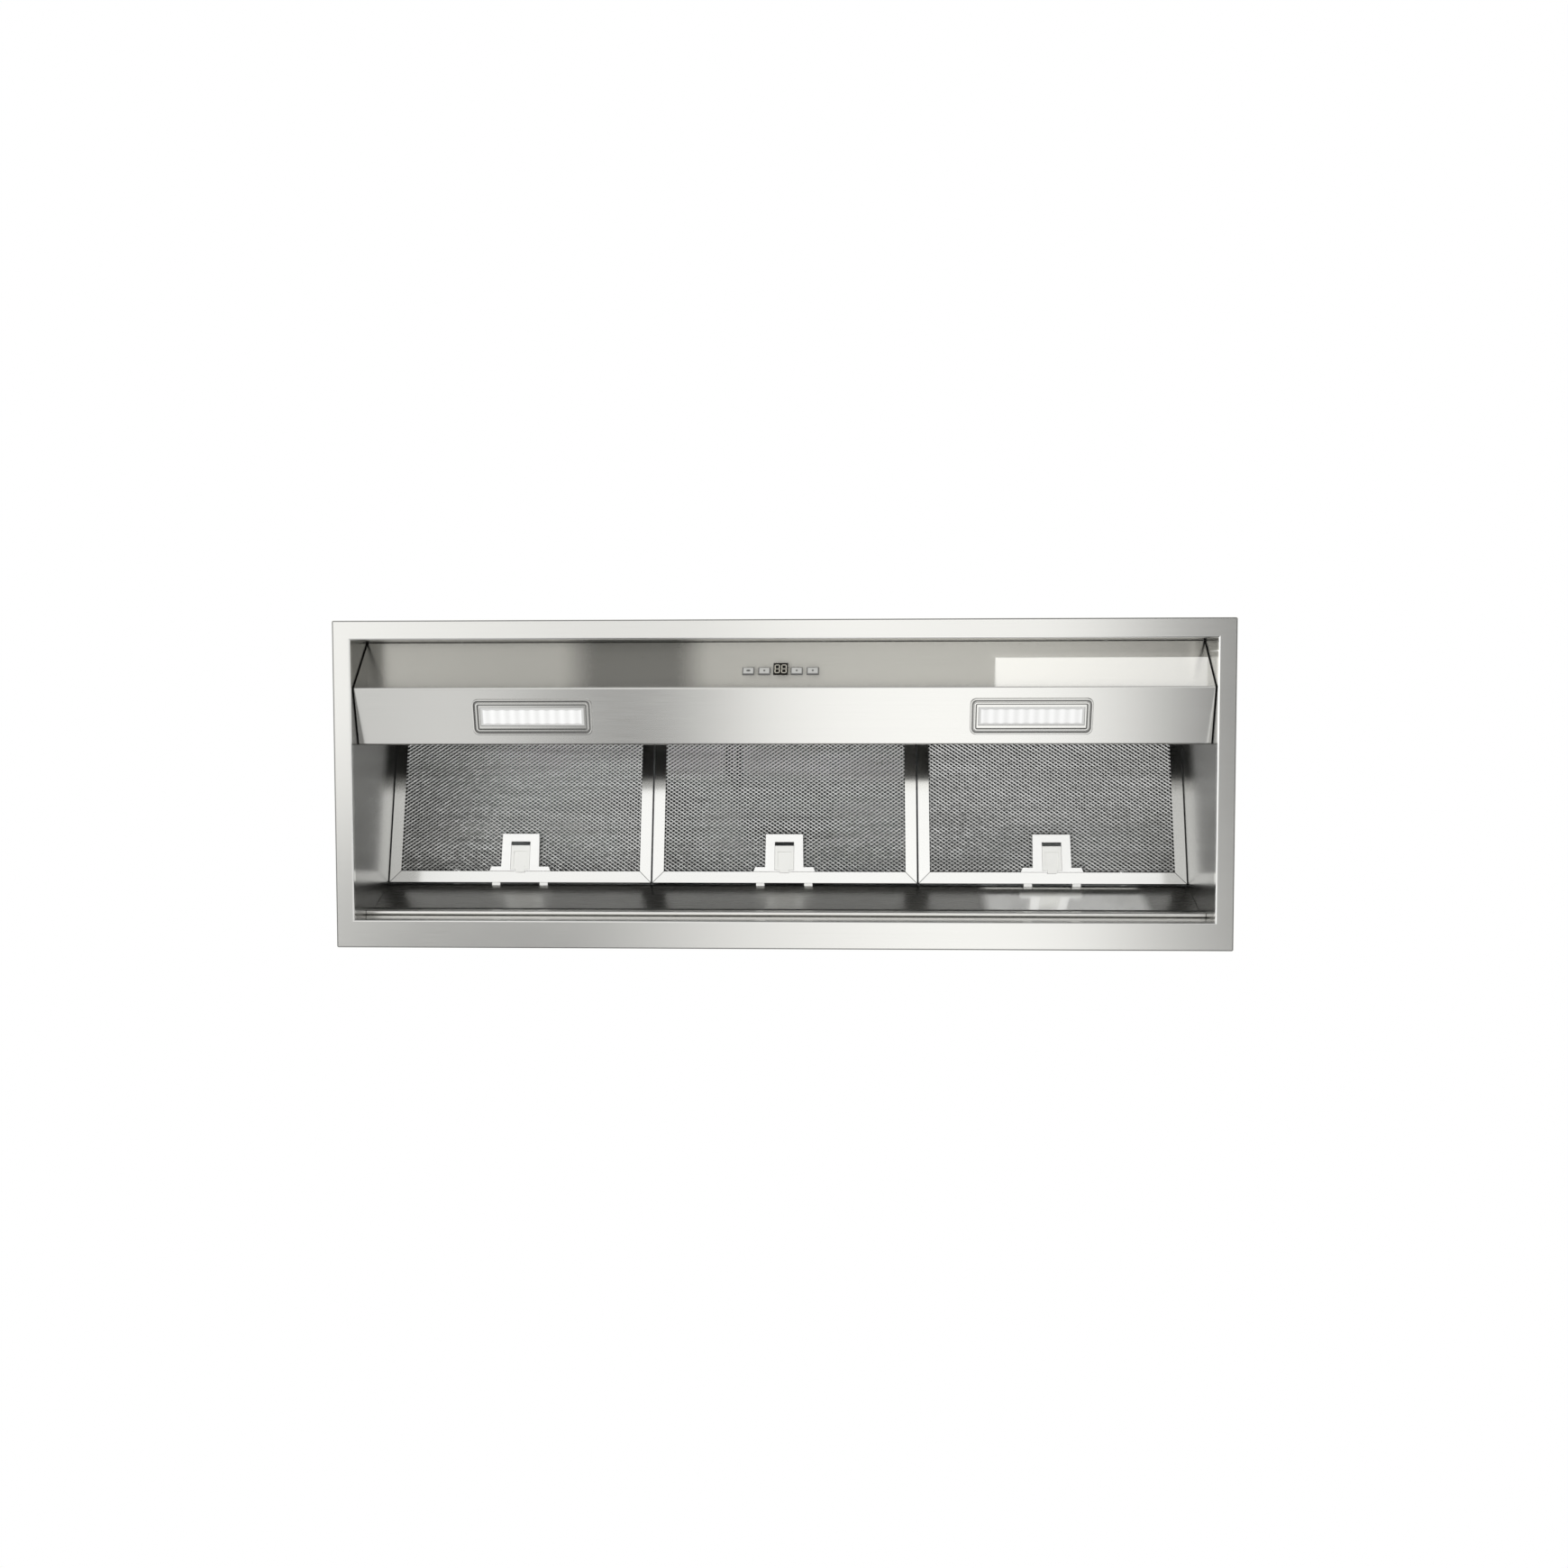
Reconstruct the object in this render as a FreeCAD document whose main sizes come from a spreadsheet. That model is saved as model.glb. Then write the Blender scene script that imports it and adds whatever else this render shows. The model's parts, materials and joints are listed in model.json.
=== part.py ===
"""Under-cabinet range hood insert: a flanged steel canopy with a folded visor, three hinged
grease filters, two lamps, push buttons and a double-inlet blower under a round duct collar.

Frame: +X to the right as seen from below with the front at the top, -Y to the front, +Z up.
The origin is the centre of the flange's underside. Lengths are millimetres.
"""
import FreeCAD, Part
import math
import os
import Sketcher
from FreeCAD import Placement, Rotation, Vector

doc = FreeCAD.newDocument("RangeHoodInsert")
sheet = doc.addObject("Spreadsheet::Sheet", "Sizes")

SIZES = (
    # canopy
    ("flange_width", 900), ("flange_depth", 330), ("flange_side", 18), ("flange_front", 19.5),
    ("flange_rear", 28), ("steel", 1), ("hem_width", 9), ("bend", 1.6), ("wall_height", 200),
    ("seat_gap", 0.3), ("lid_lip", 12),
    # visor: the control face climbs to the front wall, the lamp face climbs to the rear
    ("ridge_setback", 48.5), ("ridge_height", 6), ("control_slope", 44.4), ("lamp_slope", 13.8),
    ("lamp_face", 58.7), ("visor_gauge", 1), ("ridge_round", 2), ("visor_return", 26),
    ("visor_upstand", 13), ("visor_end_gap", 1.2), ("visor_screw_pitch", 290),
    # rear slope and grease gutter
    ("slope_reach", 22.7), ("slope_top", 115.5), ("slope_foot_reach", 4), ("slope_foot", 64),
    ("slope_gauge", 0.8), ("slope_crown", 150), ("gutter_reach", 4.7), ("gutter_base", 36.3),
    ("gutter_wall_rise", 11.7), ("gutter_gauge", 0.8), ("gutter_round", 1.8),
    # filters
    ("filter_slope", 13.5), ("filter_pitch", 288), ("filter_width", 286), ("filter_length", 245),
    ("filter_thick", 9), ("filter_bar", 12), ("filter_gauge", 0.8), ("pivot_setback", 14),
    ("pivot_height", 176.5), ("filter_lead", 6), ("bead_radius", 2), ("bead_play", 0.3),
    ("hook_gauge", 1.2), ("hook_pitch", 190), ("hook_width", 30), ("rail_foot", 150),
    ("rail_shoulder", 165), ("mesh_gauge", 0.6), ("mesh_step", 2.4), ("mitre_width", 0.5),
    ("mitre_deep", 0.3),
    # filter latch
    ("latch_width", 41.5), ("latch_length", 41), ("latch_base_width", 67), ("latch_base_bar", 5),
    ("latch_proud", 2), ("window_width", 21), ("window_length", 31), ("latch_travel", 4),
    ("tongue_pitch", 52), ("tongue_width", 8.8), ("tongue_reach", 3.4), ("tongue_thick", 2.2),
    ("crossbar", 6), ("crossbar_back", 1.2), ("neck_width", 16), ("latch_play", 0.3),
    ("thumb_width", 10), ("slide_rib", 3), ("slide_dish", 1), ("bay_play", 1),
    # lamps
    ("lamp_pitch", 502), ("lamp_back", 29.5), ("bezel_length", 122), ("bezel_width", 37),
    ("bezel_round", 6), ("bezel_proud", 2), ("bezel_collar", 6), ("bezel_rim", 2),
    ("bezel_groove", 1.8), ("bezel_ring", 2), ("bezel_deep", 1.3), ("lens_length", 105.6),
    ("lens_width", 18.6), ("lens_thick", 3), ("lens_play", 0.2), ("led_pitch", 10.1),
    ("led_count", 10), ("led_size", 3.2), ("board_thick", 1.6), ("lamp_can_deep", 20),
    ("lamp_can_wall", 1.5),
    # controls
    ("button_pitch", 16.2), ("button_split", 32.7), ("button_width", 11.8), ("button_tall", 9.6),
    ("button_back", 23.7), ("button_proud", 1.2), ("button_play", 0.25), ("button_travel", 1),
    ("stem_size", 3), ("stem_length", 2), ("display_width", 14.7), ("display_tall", 17.6),
    ("display_back", 27), ("display_deep", 7), ("control_box_width", 124),
    ("control_box_tall", 34), ("control_box_deep", 16), ("control_box_wall", 1.6),
    ("switch_size", 6), ("switch_gap", 1.2),
    # blower
    ("casing_width", 330), ("casing_front", 105), ("casing_rear", 130), ("casing_height", 179),
    ("casing_lip", 14), ("casing_round", 4), ("air_way_width", 300), ("air_way_depth", 206),
    ("wheel_radius", 60), ("wheel_bore", 50), ("wheel_width", 90), ("wheel_disc", 2),
    ("wheel_ring", 3), ("blade_gauge", 0.8), ("blade_count", 32), ("blade_lead", 7),
    ("blade_bow", 9), ("blower_back", -16), ("blower_height", 300), ("scroll_width", 102),
    ("scroll_gauge", 1.2), ("scroll_clear", 8), ("scroll_growth", 30), ("tongue_angle", 68),
    ("inlet_radius", 46), ("inlet_lip", 5), ("shaft_radius", 4), ("shaft_play", 0.1),
    ("motor_radius", 38), ("motor_length", 70), ("motor_gap", 6), ("hub_radius", 10),
    ("bracket_gauge", 2), ("bracket_arm", 12), ("bracket_back", 10), ("shaft_bore", 12),
    ("shaft_nose", 14),
    # duct collar and back-draught flaps
    ("collar_radius", 74.5), ("collar_wall", 1.7), ("collar_height", 40), ("collar_plate", 156),
    ("collar_plate_thick", 2), ("stop_height", 8), ("stop_width", 3), ("flap_gauge", 1.2),
    ("flap_rim_gap", 1), ("flap_rise", 0.2), ("rod_radius", 2), ("rod_lift", 4.3),
    ("knuckle_wall", 1.2), ("knuckle_length", 14), ("rod_bed", 0.8),
    # terminal box and screws
    ("box_left", 214), ("box_length", 150), ("box_depth", 96), ("box_height", 46),
    ("box_wall", 1), ("box_lid_deep", 8), ("grommet_bore", 5), ("grommet_wall", 2),
    ("grommet_length", 10), ("grommet_rim", 2.5), ("block_offset", 40), ("block_width", 16),
    ("block_length", 46), ("block_height", 12), ("block_pitch", 9), ("block_bore", 2.4),
    ("can_radius", 14), ("can_length", 58), ("can_offset", 28), ("driver_length", 70),
    ("driver_width", 34), ("driver_height", 22), ("driver_offset", 24),
    ("hanger_span", 760), ("hanger_depth", 220), ("hanger_hole", 3.25),
    ("screw_radius", 2), ("screw_head", 3.6), ("screw_head_thick", 2), ("screw_play", 0.1),
)
for row, (alias, value) in enumerate(SIZES, start=1):
    sheet.set("A%d" % row, alias)
    sheet.set("B%d" % row, str(value))
    sheet.setAlias("B%d" % row, alias)
doc.recompute()

# Places that several pieces share, as expressions on the sheet.
HALF_INSIDE = "(Sizes.flange_width / 2 - Sizes.flange_side)"
FRONT_WALL = "(Sizes.flange_front - Sizes.flange_depth / 2)"
REAR_WALL = "(Sizes.flange_depth / 2 - Sizes.flange_rear)"
RIDGE_Y = "(%s + Sizes.ridge_setback)" % FRONT_WALL
VISOR_FRONT = "(%s + Sizes.seat_gap)" % FRONT_WALL
CONTROL_TOP = "(Sizes.ridge_height + (Sizes.ridge_setback - Sizes.seat_gap) * tan(Sizes.control_slope))"
LAMP_REAR_Y = "(%s + Sizes.lamp_face * cos(Sizes.lamp_slope))" % RIDGE_Y
LAMP_REAR_Z = "(Sizes.ridge_height + Sizes.lamp_face * sin(Sizes.lamp_slope))"
PIVOT_Y = "(%s + Sizes.pivot_setback)" % FRONT_WALL
FILTER_END = "(Sizes.filter_lead + Sizes.filter_length)"
LID_TOP = "(Sizes.wall_height + Sizes.steel)"
CASING_TOP = "(%s + Sizes.casing_height)" % LID_TOP
SCROLL_REACH = "(Sizes.wheel_radius + Sizes.scroll_clear + Sizes.scroll_growth)"
CUTOFF = "(Sizes.wheel_radius + Sizes.scroll_clear) * cos(Sizes.tongue_angle)"
OUTLET_Y = "(Sizes.blower_back + (%s + %s) / 2)" % (CUTOFF, SCROLL_REACH)

PIECES = []


def measure(expression):
    """The number that an expression on the sheet stands for."""
    return float(sheet.evalExpression(str(expression)))


def new_body(name):
    """A sub-part that is built from sketches and features."""
    body = doc.addObject("PartDesign::Body", name)
    body.Label = name
    PIECES.append(body)
    return body


def new_shape(name, shape):
    """A sub-part whose shape comes from a formula."""
    piece = doc.addObject("Part::Feature", name)
    piece.Label = name
    piece.Shape = shape
    PIECES.append(piece)
    return piece


def place(piece, x="0", y="0", z="0", tilt=None):
    """Bind where a sub-part stands, tilted about X by an angle."""
    for axis, expression in (("x", x), ("y", y), ("z", z)):
        piece.setExpression("Placement.Base." + axis, expression)
    if tilt:
        piece.Placement = Placement(piece.Placement.Base, Rotation(Vector(1, 0, 0), 1))
        piece.setExpression("Placement.Rotation.Angle", tilt)


def new_sketch(body, plane, y=None, z=None, tilt=None, x=None):
    """An empty sketch on one of the body's own planes, moved or tilted where asked."""
    sketch = body.newObject("Sketcher::SketchObject", body.Name + "_sketch")
    own = [item for item in body.Origin.OriginFeatures if item.Role == plane + "_Plane"]
    sketch.AttachmentSupport = [(own[0], "")]
    sketch.MapMode = "FlatFace"
    if tilt:
        sketch.AttachmentOffset = Placement(Vector(), Rotation(Vector(1, 0, 0), 1))
        sketch.setExpression("AttachmentOffset.Rotation.Angle", tilt)
    for axis, expression in (("x", x), ("y", y), ("z", z)):
        if expression:
            sketch.setExpression("AttachmentOffset.Base." + axis, expression)
    return sketch


def pin(sketch, geometry, point, x, y):
    """Hold one point of a sketch at a pair of expressions."""
    for kind, axis, expression in (("DistanceX", -2, x), ("DistanceY", -1, y)):
        if expression == "0":
            sketch.addConstraint(Sketcher.Constraint("PointOnObject", geometry, point, axis))
        else:
            rule = Sketcher.Constraint(kind, geometry, point, measure(expression))
            index = sketch.addConstraint(rule)
            sketch.setExpression("Constraints[%d]" % index, expression)


def polygon(sketch, corners):
    """A closed outline of straight runs through pairs of expressions."""
    spots = [Vector(measure(x), measure(y), 0) for x, y in corners]
    first = sketch.GeometryCount
    count = len(spots)
    for index, spot in enumerate(spots):
        sketch.addGeometry(Part.LineSegment(spot, spots[(index + 1) % count]))
    for index in range(count):
        follower = first + (index + 1) % count
        sketch.addConstraint(Sketcher.Constraint("Coincident", first + index, 2, follower, 1))
    for index, (x, y) in enumerate(corners):
        pin(sketch, first + index, 1, x, y)


def rectangle(sketch, left, right, low, high):
    """A rectangle between four expressions."""
    polygon(sketch, ((left, low), (right, low), (right, high), (left, high)))


def centred(sketch, width, height, x="0", y="0"):
    """A rectangle of a width and height about a centre."""
    rectangle(sketch, "%s - %s / 2" % (x, width), "%s + %s / 2" % (x, width),
              "%s - %s / 2" % (y, height), "%s + %s / 2" % (y, height))


def circle(sketch, radius, x="0", y="0"):
    """A circle of a radius about a centre."""
    spot = Vector(measure(x), measure(y), 0)
    index = sketch.addGeometry(Part.Circle(spot, Vector(0, 0, 1), measure(radius)))
    pin(sketch, index, 3, x, y)
    rule = sketch.addConstraint(Sketcher.Constraint("Radius", index, measure(radius)))
    sketch.setExpression("Constraints[%d]" % rule, radius)


def pad(body, sketch, length, side="One side", flip=False):
    """Add material along a sketch's normal."""
    feature = body.newObject("PartDesign::Pad", body.Name + "_pad")
    feature.Profile = sketch
    feature.SideType = side
    feature.Reversed = flip
    feature.setExpression("Length", length)
    return feature


def pocket(body, sketch, length, side="One side", flip=False):
    """Cut along a sketch's normal, and stop if nothing was cut."""
    doc.recompute()
    before = body.Shape.Volume
    feature = body.newObject("PartDesign::Pocket", body.Name + "_cut")
    feature.Profile = sketch
    feature.SideType = side
    feature.Reversed = flip
    feature.setExpression("Length", length)
    doc.recompute()
    if not body.Shape.Volume < before:
        raise ValueError("a pocket in %s cuts nothing" % body.Label)
    return feature


def round_edges(body, base, radius, chosen):
    """Fillet the edges of the last feature that a test picks."""
    doc.recompute()
    names = ["Edge%d" % (index + 1) for index, edge in enumerate(base.Shape.Edges) if chosen(edge)]
    if not names:
        raise ValueError("no edge to round in %s" % body.Label)
    feature = body.newObject("PartDesign::Fillet", body.Name + "_round")
    feature.Base = (base, names)
    feature.setExpression("Radius", radius)
    return feature


def hollow(body, base, wall, opened):
    """Turn a block into a shell, open at the faces that a test picks."""
    doc.recompute()
    names = ["Face%d" % (index + 1) for index, face in enumerate(base.Shape.Faces) if opened(face)]
    if not names:
        raise ValueError("no face to open in %s" % body.Label)
    feature = body.newObject("PartDesign::Thickness", body.Name + "_shell")
    feature.Base = (base, names)
    feature.Reversed = True
    feature.setExpression("Value", wall)
    return feature


def facing(x=0, y=0, z=0):
    """A test for flat faces that look along a direction."""
    aim = Vector(x, y, z)

    def matches(face):
        low_u, high_u, low_v, high_v = face.ParameterRange
        normal = face.normalAt((low_u + high_u) / 2, (low_v + high_v) / 2)
        return isinstance(face.Surface, Part.Plane) and normal.dot(aim) > 0.98
    return matches


def upright(edge):
    """Whether an edge runs along Z."""
    start, end = edge.firstVertex().Point, edge.lastVertex().Point
    return abs(start.x - end.x) + abs(start.y - end.y) < 0.001 and abs(start.z - end.z) > 0.1


def along_x_at(y, z):
    """A test for the edges that run along X through a point of the side view."""
    spot_y, spot_z = measure(y), measure(z)

    def matches(edge):
        start, end = edge.firstVertex().Point, edge.lastVertex().Point
        level = abs(start.y - end.y) + abs(start.z - end.z) < 0.001
        return level and abs(start.y - spot_y) < 0.02 and abs(start.z - spot_z) < 0.02
    return matches


# ---------------------------------------------------------------- canopy

def make_canopy_shell():
    """Flange, hem and four walls, welded from one gauge of sheet."""
    body = new_body("canopy_shell")
    flange = new_sketch(body, "XY")
    centred(flange, "Sizes.flange_width", "Sizes.flange_depth")
    pad(body, flange, "Sizes.steel")
    hem = new_sketch(body, "XY", z="Sizes.steel")
    centred(hem, "Sizes.flange_width", "Sizes.flange_depth")
    centred(hem, "(Sizes.flange_width - 2 * Sizes.hem_width)",
            "(Sizes.flange_depth - 2 * Sizes.hem_width)")
    pad(body, hem, "Sizes.steel")
    walls = new_sketch(body, "XY")
    rectangle(walls, "-%s - Sizes.steel" % HALF_INSIDE, "%s + Sizes.steel" % HALF_INSIDE,
              "%s - Sizes.steel" % FRONT_WALL, "%s + Sizes.steel" % REAR_WALL)
    pad(body, walls, "Sizes.wall_height")
    mouth = new_sketch(body, "XY")
    rectangle(mouth, "-" + HALF_INSIDE, HALF_INSIDE, FRONT_WALL, REAR_WALL)
    opened = pocket(body, mouth, "Sizes.wall_height", flip=True)
    half, front, rear = measure(HALF_INSIDE), measure(FRONT_WALL), measure(REAR_WALL)

    def mouth_edge(edge):
        box = edge.BoundBox
        inside = box.XMax < half + 0.1 and box.XMin > -half - 0.1
        return box.ZMax < 0.01 and inside and box.YMin > front - 0.1 and box.YMax < rear + 0.1
    bent = round_edges(body, opened, "Sizes.bend", mouth_edge)
    deep = measure("Sizes.flange_depth") / 2

    def rim_corner(edge):
        return upright(edge) and abs(edge.CenterOfMass.y) > deep - 0.01
    round_edges(body, bent, "Sizes.bend", rim_corner)


def visor_outline():
    """The visor's outer side view: upstand, control face, ridge, lamp face and return."""
    return (
        (VISOR_FRONT, CONTROL_TOP + " + Sizes.visor_upstand"),
        (VISOR_FRONT, CONTROL_TOP),
        (RIDGE_Y, "Sizes.ridge_height"),
        (LAMP_REAR_Y, LAMP_REAR_Z),
        (LAMP_REAR_Y, LAMP_REAR_Z + " + Sizes.visor_return"),
    )


def make_visor():
    """Folded box beam across the mouth, open at the back, with its ends closed."""
    body = new_body("visor")
    side = new_sketch(body, "YZ")
    polygon(side, visor_outline())
    block = pad(body, side, "2 * (%s - Sizes.visor_end_gap)" % HALF_INSIDE, "Symmetric")
    ridge = along_x_at(RIDGE_Y, "Sizes.ridge_height")
    shoulder = along_x_at(VISOR_FRONT, CONTROL_TOP)
    rear = along_x_at(LAMP_REAR_Y, LAMP_REAR_Z)
    bent = round_edges(body, block, "Sizes.ridge_round",
                       lambda edge: ridge(edge) or shoulder(edge) or rear(edge))
    hollow(body, bent, "Sizes.visor_gauge",
           lambda face: face.CenterOfMass.z > measure(LAMP_REAR_Z) and facing(0, 0.19, 0.98)(face))
    for sign in ("-", ""):
        lamp = new_sketch(body, "XY", y=RIDGE_Y, z="Sizes.ridge_height", tilt="Sizes.lamp_slope")
        centred(lamp, "(Sizes.bezel_length - 8)", "(Sizes.bezel_width - 8)",
                sign + "Sizes.lamp_pitch / 2", "Sizes.lamp_back")
        pocket(body, lamp, "6", "Symmetric")
    keys = new_sketch(body, "XY", y=RIDGE_Y, z="Sizes.ridge_height", tilt="-Sizes.control_slope")
    for x in button_places():
        centred(keys, "(Sizes.button_width + 2 * Sizes.button_play)",
                "(Sizes.button_tall + 2 * Sizes.button_play)", x, "-Sizes.button_back")
    centred(keys, "Sizes.display_width", "Sizes.display_tall", "0", "-Sizes.display_back")
    pocket(body, keys, "6", "Symmetric")
    holes = new_sketch(body, "XZ", z="-" + VISOR_FRONT)
    for x in screw_places():
        circle(holes, "Sizes.screw_radius + Sizes.screw_play", x, SCREW_Z)
    pocket(body, holes, "3", "Symmetric")


SCREW_Z = "(%s + Sizes.visor_upstand - 6)" % CONTROL_TOP


def screw_places():
    """Where the visor's screws stand across the front."""
    outer = "(Sizes.visor_screw_pitch * 2.3 / 2)"
    inner = "(Sizes.visor_screw_pitch * 0.3 / 2)"
    return ("-" + outer, "-" + inner, inner, outer)


def button_places():
    """Two buttons on each side of the display."""
    near = "(Sizes.button_split / 2)"
    far = "(%s + Sizes.button_pitch)" % near
    return ("-" + far, "-" + near, near, far)


def make_rear_slope():
    """Folded panel behind the filters, with six slots for the latch tongues."""
    body = new_body("rear_slope")
    top_y = "(%s - Sizes.slope_reach)" % REAR_WALL
    foot_y = "(%s - Sizes.slope_foot_reach)" % REAR_WALL
    back_y = "(%s - Sizes.seat_gap)" % REAR_WALL
    side = new_sketch(body, "YZ")
    polygon(side, ((top_y, "Sizes.slope_crown"), (top_y, "Sizes.slope_top"),
                   (foot_y, "Sizes.slope_foot"), (back_y, "Sizes.slope_foot"),
                   (back_y, "Sizes.slope_crown")))
    block = pad(body, side, "2 * (%s - Sizes.seat_gap)" % HALF_INSIDE, "Symmetric")
    crown = along_x_at(top_y, "Sizes.slope_crown")
    knee = along_x_at(top_y, "Sizes.slope_top")
    bent = round_edges(body, block, "Sizes.ridge_round",
                       lambda edge: crown(edge) or knee(edge))

    def opened(face):
        return any(facing(*aim)(face) for aim in ((1, 0, 0), (-1, 0, 0), (0, 1, 0), (0, 0, -1)))
    hollow(body, bent, "Sizes.slope_gauge", opened)
    slots = new_sketch(body, "XZ", z="-%s + 1" % top_y)
    for number in (-1, 0, 1):
        for side_sign in ("-", "+"):
            x = "(%d * Sizes.filter_pitch %s Sizes.tongue_pitch / 2)" % (number, side_sign)
            rectangle(slots, "%s - Sizes.tongue_width / 2 - 0.6" % x,
                      "%s + Sizes.tongue_width / 2 + 0.6" % x,
                      "Sizes.slope_top - 3.2", "Sizes.slope_top + 4.6")
    pocket(body, slots, "5")


def make_grease_gutter():
    """Small rolled trough along the rear wall, closed at its ends."""
    body = new_body("grease_gutter")
    lip_y = "(%s - Sizes.gutter_reach)" % REAR_WALL
    back_y = "(%s - Sizes.seat_gap)" % REAR_WALL
    side = new_sketch(body, "YZ")
    rectangle(side, lip_y, back_y, "Sizes.gutter_base", "Sizes.gutter_base + Sizes.gutter_wall_rise")
    block = pad(body, side, "2 * (%s - Sizes.seat_gap)" % HALF_INSIDE, "Symmetric")
    front = along_x_at(lip_y, "Sizes.gutter_base")
    back = along_x_at(back_y, "Sizes.gutter_base")
    rolled = round_edges(body, block, "Sizes.gutter_round", lambda edge: front(edge) or back(edge))
    hollow(body, rolled, "Sizes.gutter_gauge", facing(0, 0, 1))


def make_filter_rail():
    """Rail on the front wall whose rolled bead carries the filters' hooks."""
    body = new_body("filter_rail")
    foot_y = "(%s + Sizes.seat_gap)" % FRONT_WALL
    face_y = "(%s + Sizes.steel)" % foot_y
    side = new_sketch(body, "YZ")
    polygon(side, ((foot_y, "Sizes.rail_foot"), (face_y, "Sizes.rail_foot"),
                   (face_y, "Sizes.rail_shoulder - 0.4"),
                   (PIVOT_Y + " + 0.3", "Sizes.pivot_height - 0.4"),
                   (PIVOT_Y + " - 0.3", "Sizes.pivot_height + 0.4"),
                   (foot_y, "Sizes.rail_shoulder + 0.4")))
    length = "2 * (%s - Sizes.seat_gap)" % HALF_INSIDE
    pad(body, side, length, "Symmetric")
    bead = new_sketch(body, "YZ")
    circle(bead, "Sizes.bead_radius", PIVOT_Y, "Sizes.pivot_height")
    pad(body, bead, length, "Symmetric")


def lid_screw_places():
    """Seven screws round the blower casing's lip."""
    side = "(Sizes.casing_width / 2 + Sizes.casing_lip / 2)"
    front = "(-Sizes.casing_front - Sizes.casing_lip / 2)"
    places = [(sign + side, y) for sign in ("-", "") for y in ("-Sizes.casing_front / 2",
                                                                "Sizes.casing_rear / 2")]
    places += [("%d * Sizes.casing_width / 3" % step, front) for step in (-1, 0, 1)]
    return places


def make_top_panel():
    """Lid over the walls, with the blower's air way and four hanger holes."""
    body = new_body("top_panel")
    grow = "(Sizes.steel * 2 + Sizes.seat_gap)"
    plate = new_sketch(body, "XY", z="Sizes.wall_height - Sizes.lid_lip")
    rectangle(plate, "-%s - %s" % (HALF_INSIDE, grow), "%s + %s" % (HALF_INSIDE, grow),
              "%s - %s" % (FRONT_WALL, grow), "%s + %s" % (REAR_WALL, grow))
    block = pad(body, plate, "Sizes.lid_lip + Sizes.steel")
    hollow(body, block, "Sizes.steel", facing(0, 0, -1))
    cuts = new_sketch(body, "XY", z="Sizes.wall_height + Sizes.steel / 2")
    centred(cuts, "Sizes.air_way_width", "Sizes.air_way_depth", "0",
            "(Sizes.casing_rear - Sizes.casing_front) / 2")
    for x in ("-Sizes.hanger_span / 2", "Sizes.hanger_span / 2"):
        for y in ("-Sizes.hanger_depth / 2", "Sizes.hanger_depth / 2"):
            circle(cuts, "Sizes.hanger_hole", x, y)
    for x, y in lid_screw_places():
        circle(cuts, "Sizes.screw_radius + Sizes.screw_play", x, y)
    pocket(body, cuts, "3 * Sizes.steel", "Symmetric")


# ---------------------------------------------------------------- filters

def filter_place(piece, number):
    """Stand a piece of a filter in the filter's own tilted frame, whose origin is the bead."""
    place(piece, "%d * Sizes.filter_pitch" % number, PIVOT_Y, "Sizes.pivot_height",
          "-Sizes.filter_slope")


def make_filter_frame(side, number):
    """C-section aluminium frame with mitred corners and two hooks on its front edge."""
    body = new_body("filter_frame_" + side)
    wide, bar, gauge = "Sizes.filter_width", "Sizes.filter_bar", "Sizes.filter_gauge"
    mid = "(Sizes.filter_lead + Sizes.filter_length / 2)"
    ring = new_sketch(body, "XY")
    centred(ring, wide, "Sizes.filter_length", "0", mid)
    centred(ring, "(%s - 2 * %s)" % (wide, bar), "(Sizes.filter_length - 2 * %s)" % bar, "0", mid)
    pad(body, ring, "Sizes.filter_thick", "Symmetric")
    reach = "2 * (Sizes.hook_pitch / 2 + Sizes.hook_width / 2)"
    arm = new_sketch(body, "YZ")
    rectangle(arm, "Sizes.bead_radius + Sizes.bead_play", "Sizes.filter_lead",
              "-Sizes.hook_gauge / 2", "Sizes.hook_gauge / 2")
    pad(body, arm, reach, "Symmetric")
    curl = new_sketch(body, "YZ")
    circle(curl, "Sizes.bead_radius + Sizes.bead_play + Sizes.hook_gauge")
    circle(curl, "Sizes.bead_radius + Sizes.bead_play")
    pad(body, curl, reach, "Symmetric")
    channel = new_sketch(body, "XY")
    centred(channel, "(%s - 2 * %s)" % (wide, gauge),
            "(Sizes.filter_length - 2 * %s)" % gauge, "0", mid)
    pocket(body, channel, "Sizes.filter_thick - 2 * %s" % gauge, "Symmetric")
    mouth = new_sketch(body, "YZ")
    polygon(mouth, (("0", "0"), ("-Sizes.filter_lead", "0"),
                    ("-Sizes.filter_lead", "-Sizes.filter_lead"),
                    ("Sizes.filter_lead / 3", "-Sizes.filter_lead")))
    pocket(body, mouth, reach, "Symmetric")
    between = new_sketch(body, "YZ")
    rectangle(between, "-Sizes.filter_lead", "Sizes.filter_lead",
              "-Sizes.filter_lead", "Sizes.filter_lead")
    pocket(body, between, "2 * (Sizes.hook_pitch / 2 - Sizes.hook_width / 2)", "Symmetric")
    slots = new_sketch(body, "XZ", z="-" + FILTER_END)
    for sign in ("-", ""):
        centred(slots, "(Sizes.tongue_width + 0.8)", "(Sizes.tongue_thick + 0.6)",
                sign + "Sizes.tongue_pitch / 2", TONGUE_MID)
    pocket(body, slots, "4 * %s" % gauge, "Symmetric")
    cut_mitres(body)
    filter_place(body, number)


TONGUE_MID = "(Sizes.filter_gauge - Sizes.filter_thick / 2 + 0.3 + Sizes.tongue_thick / 2)"


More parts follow.
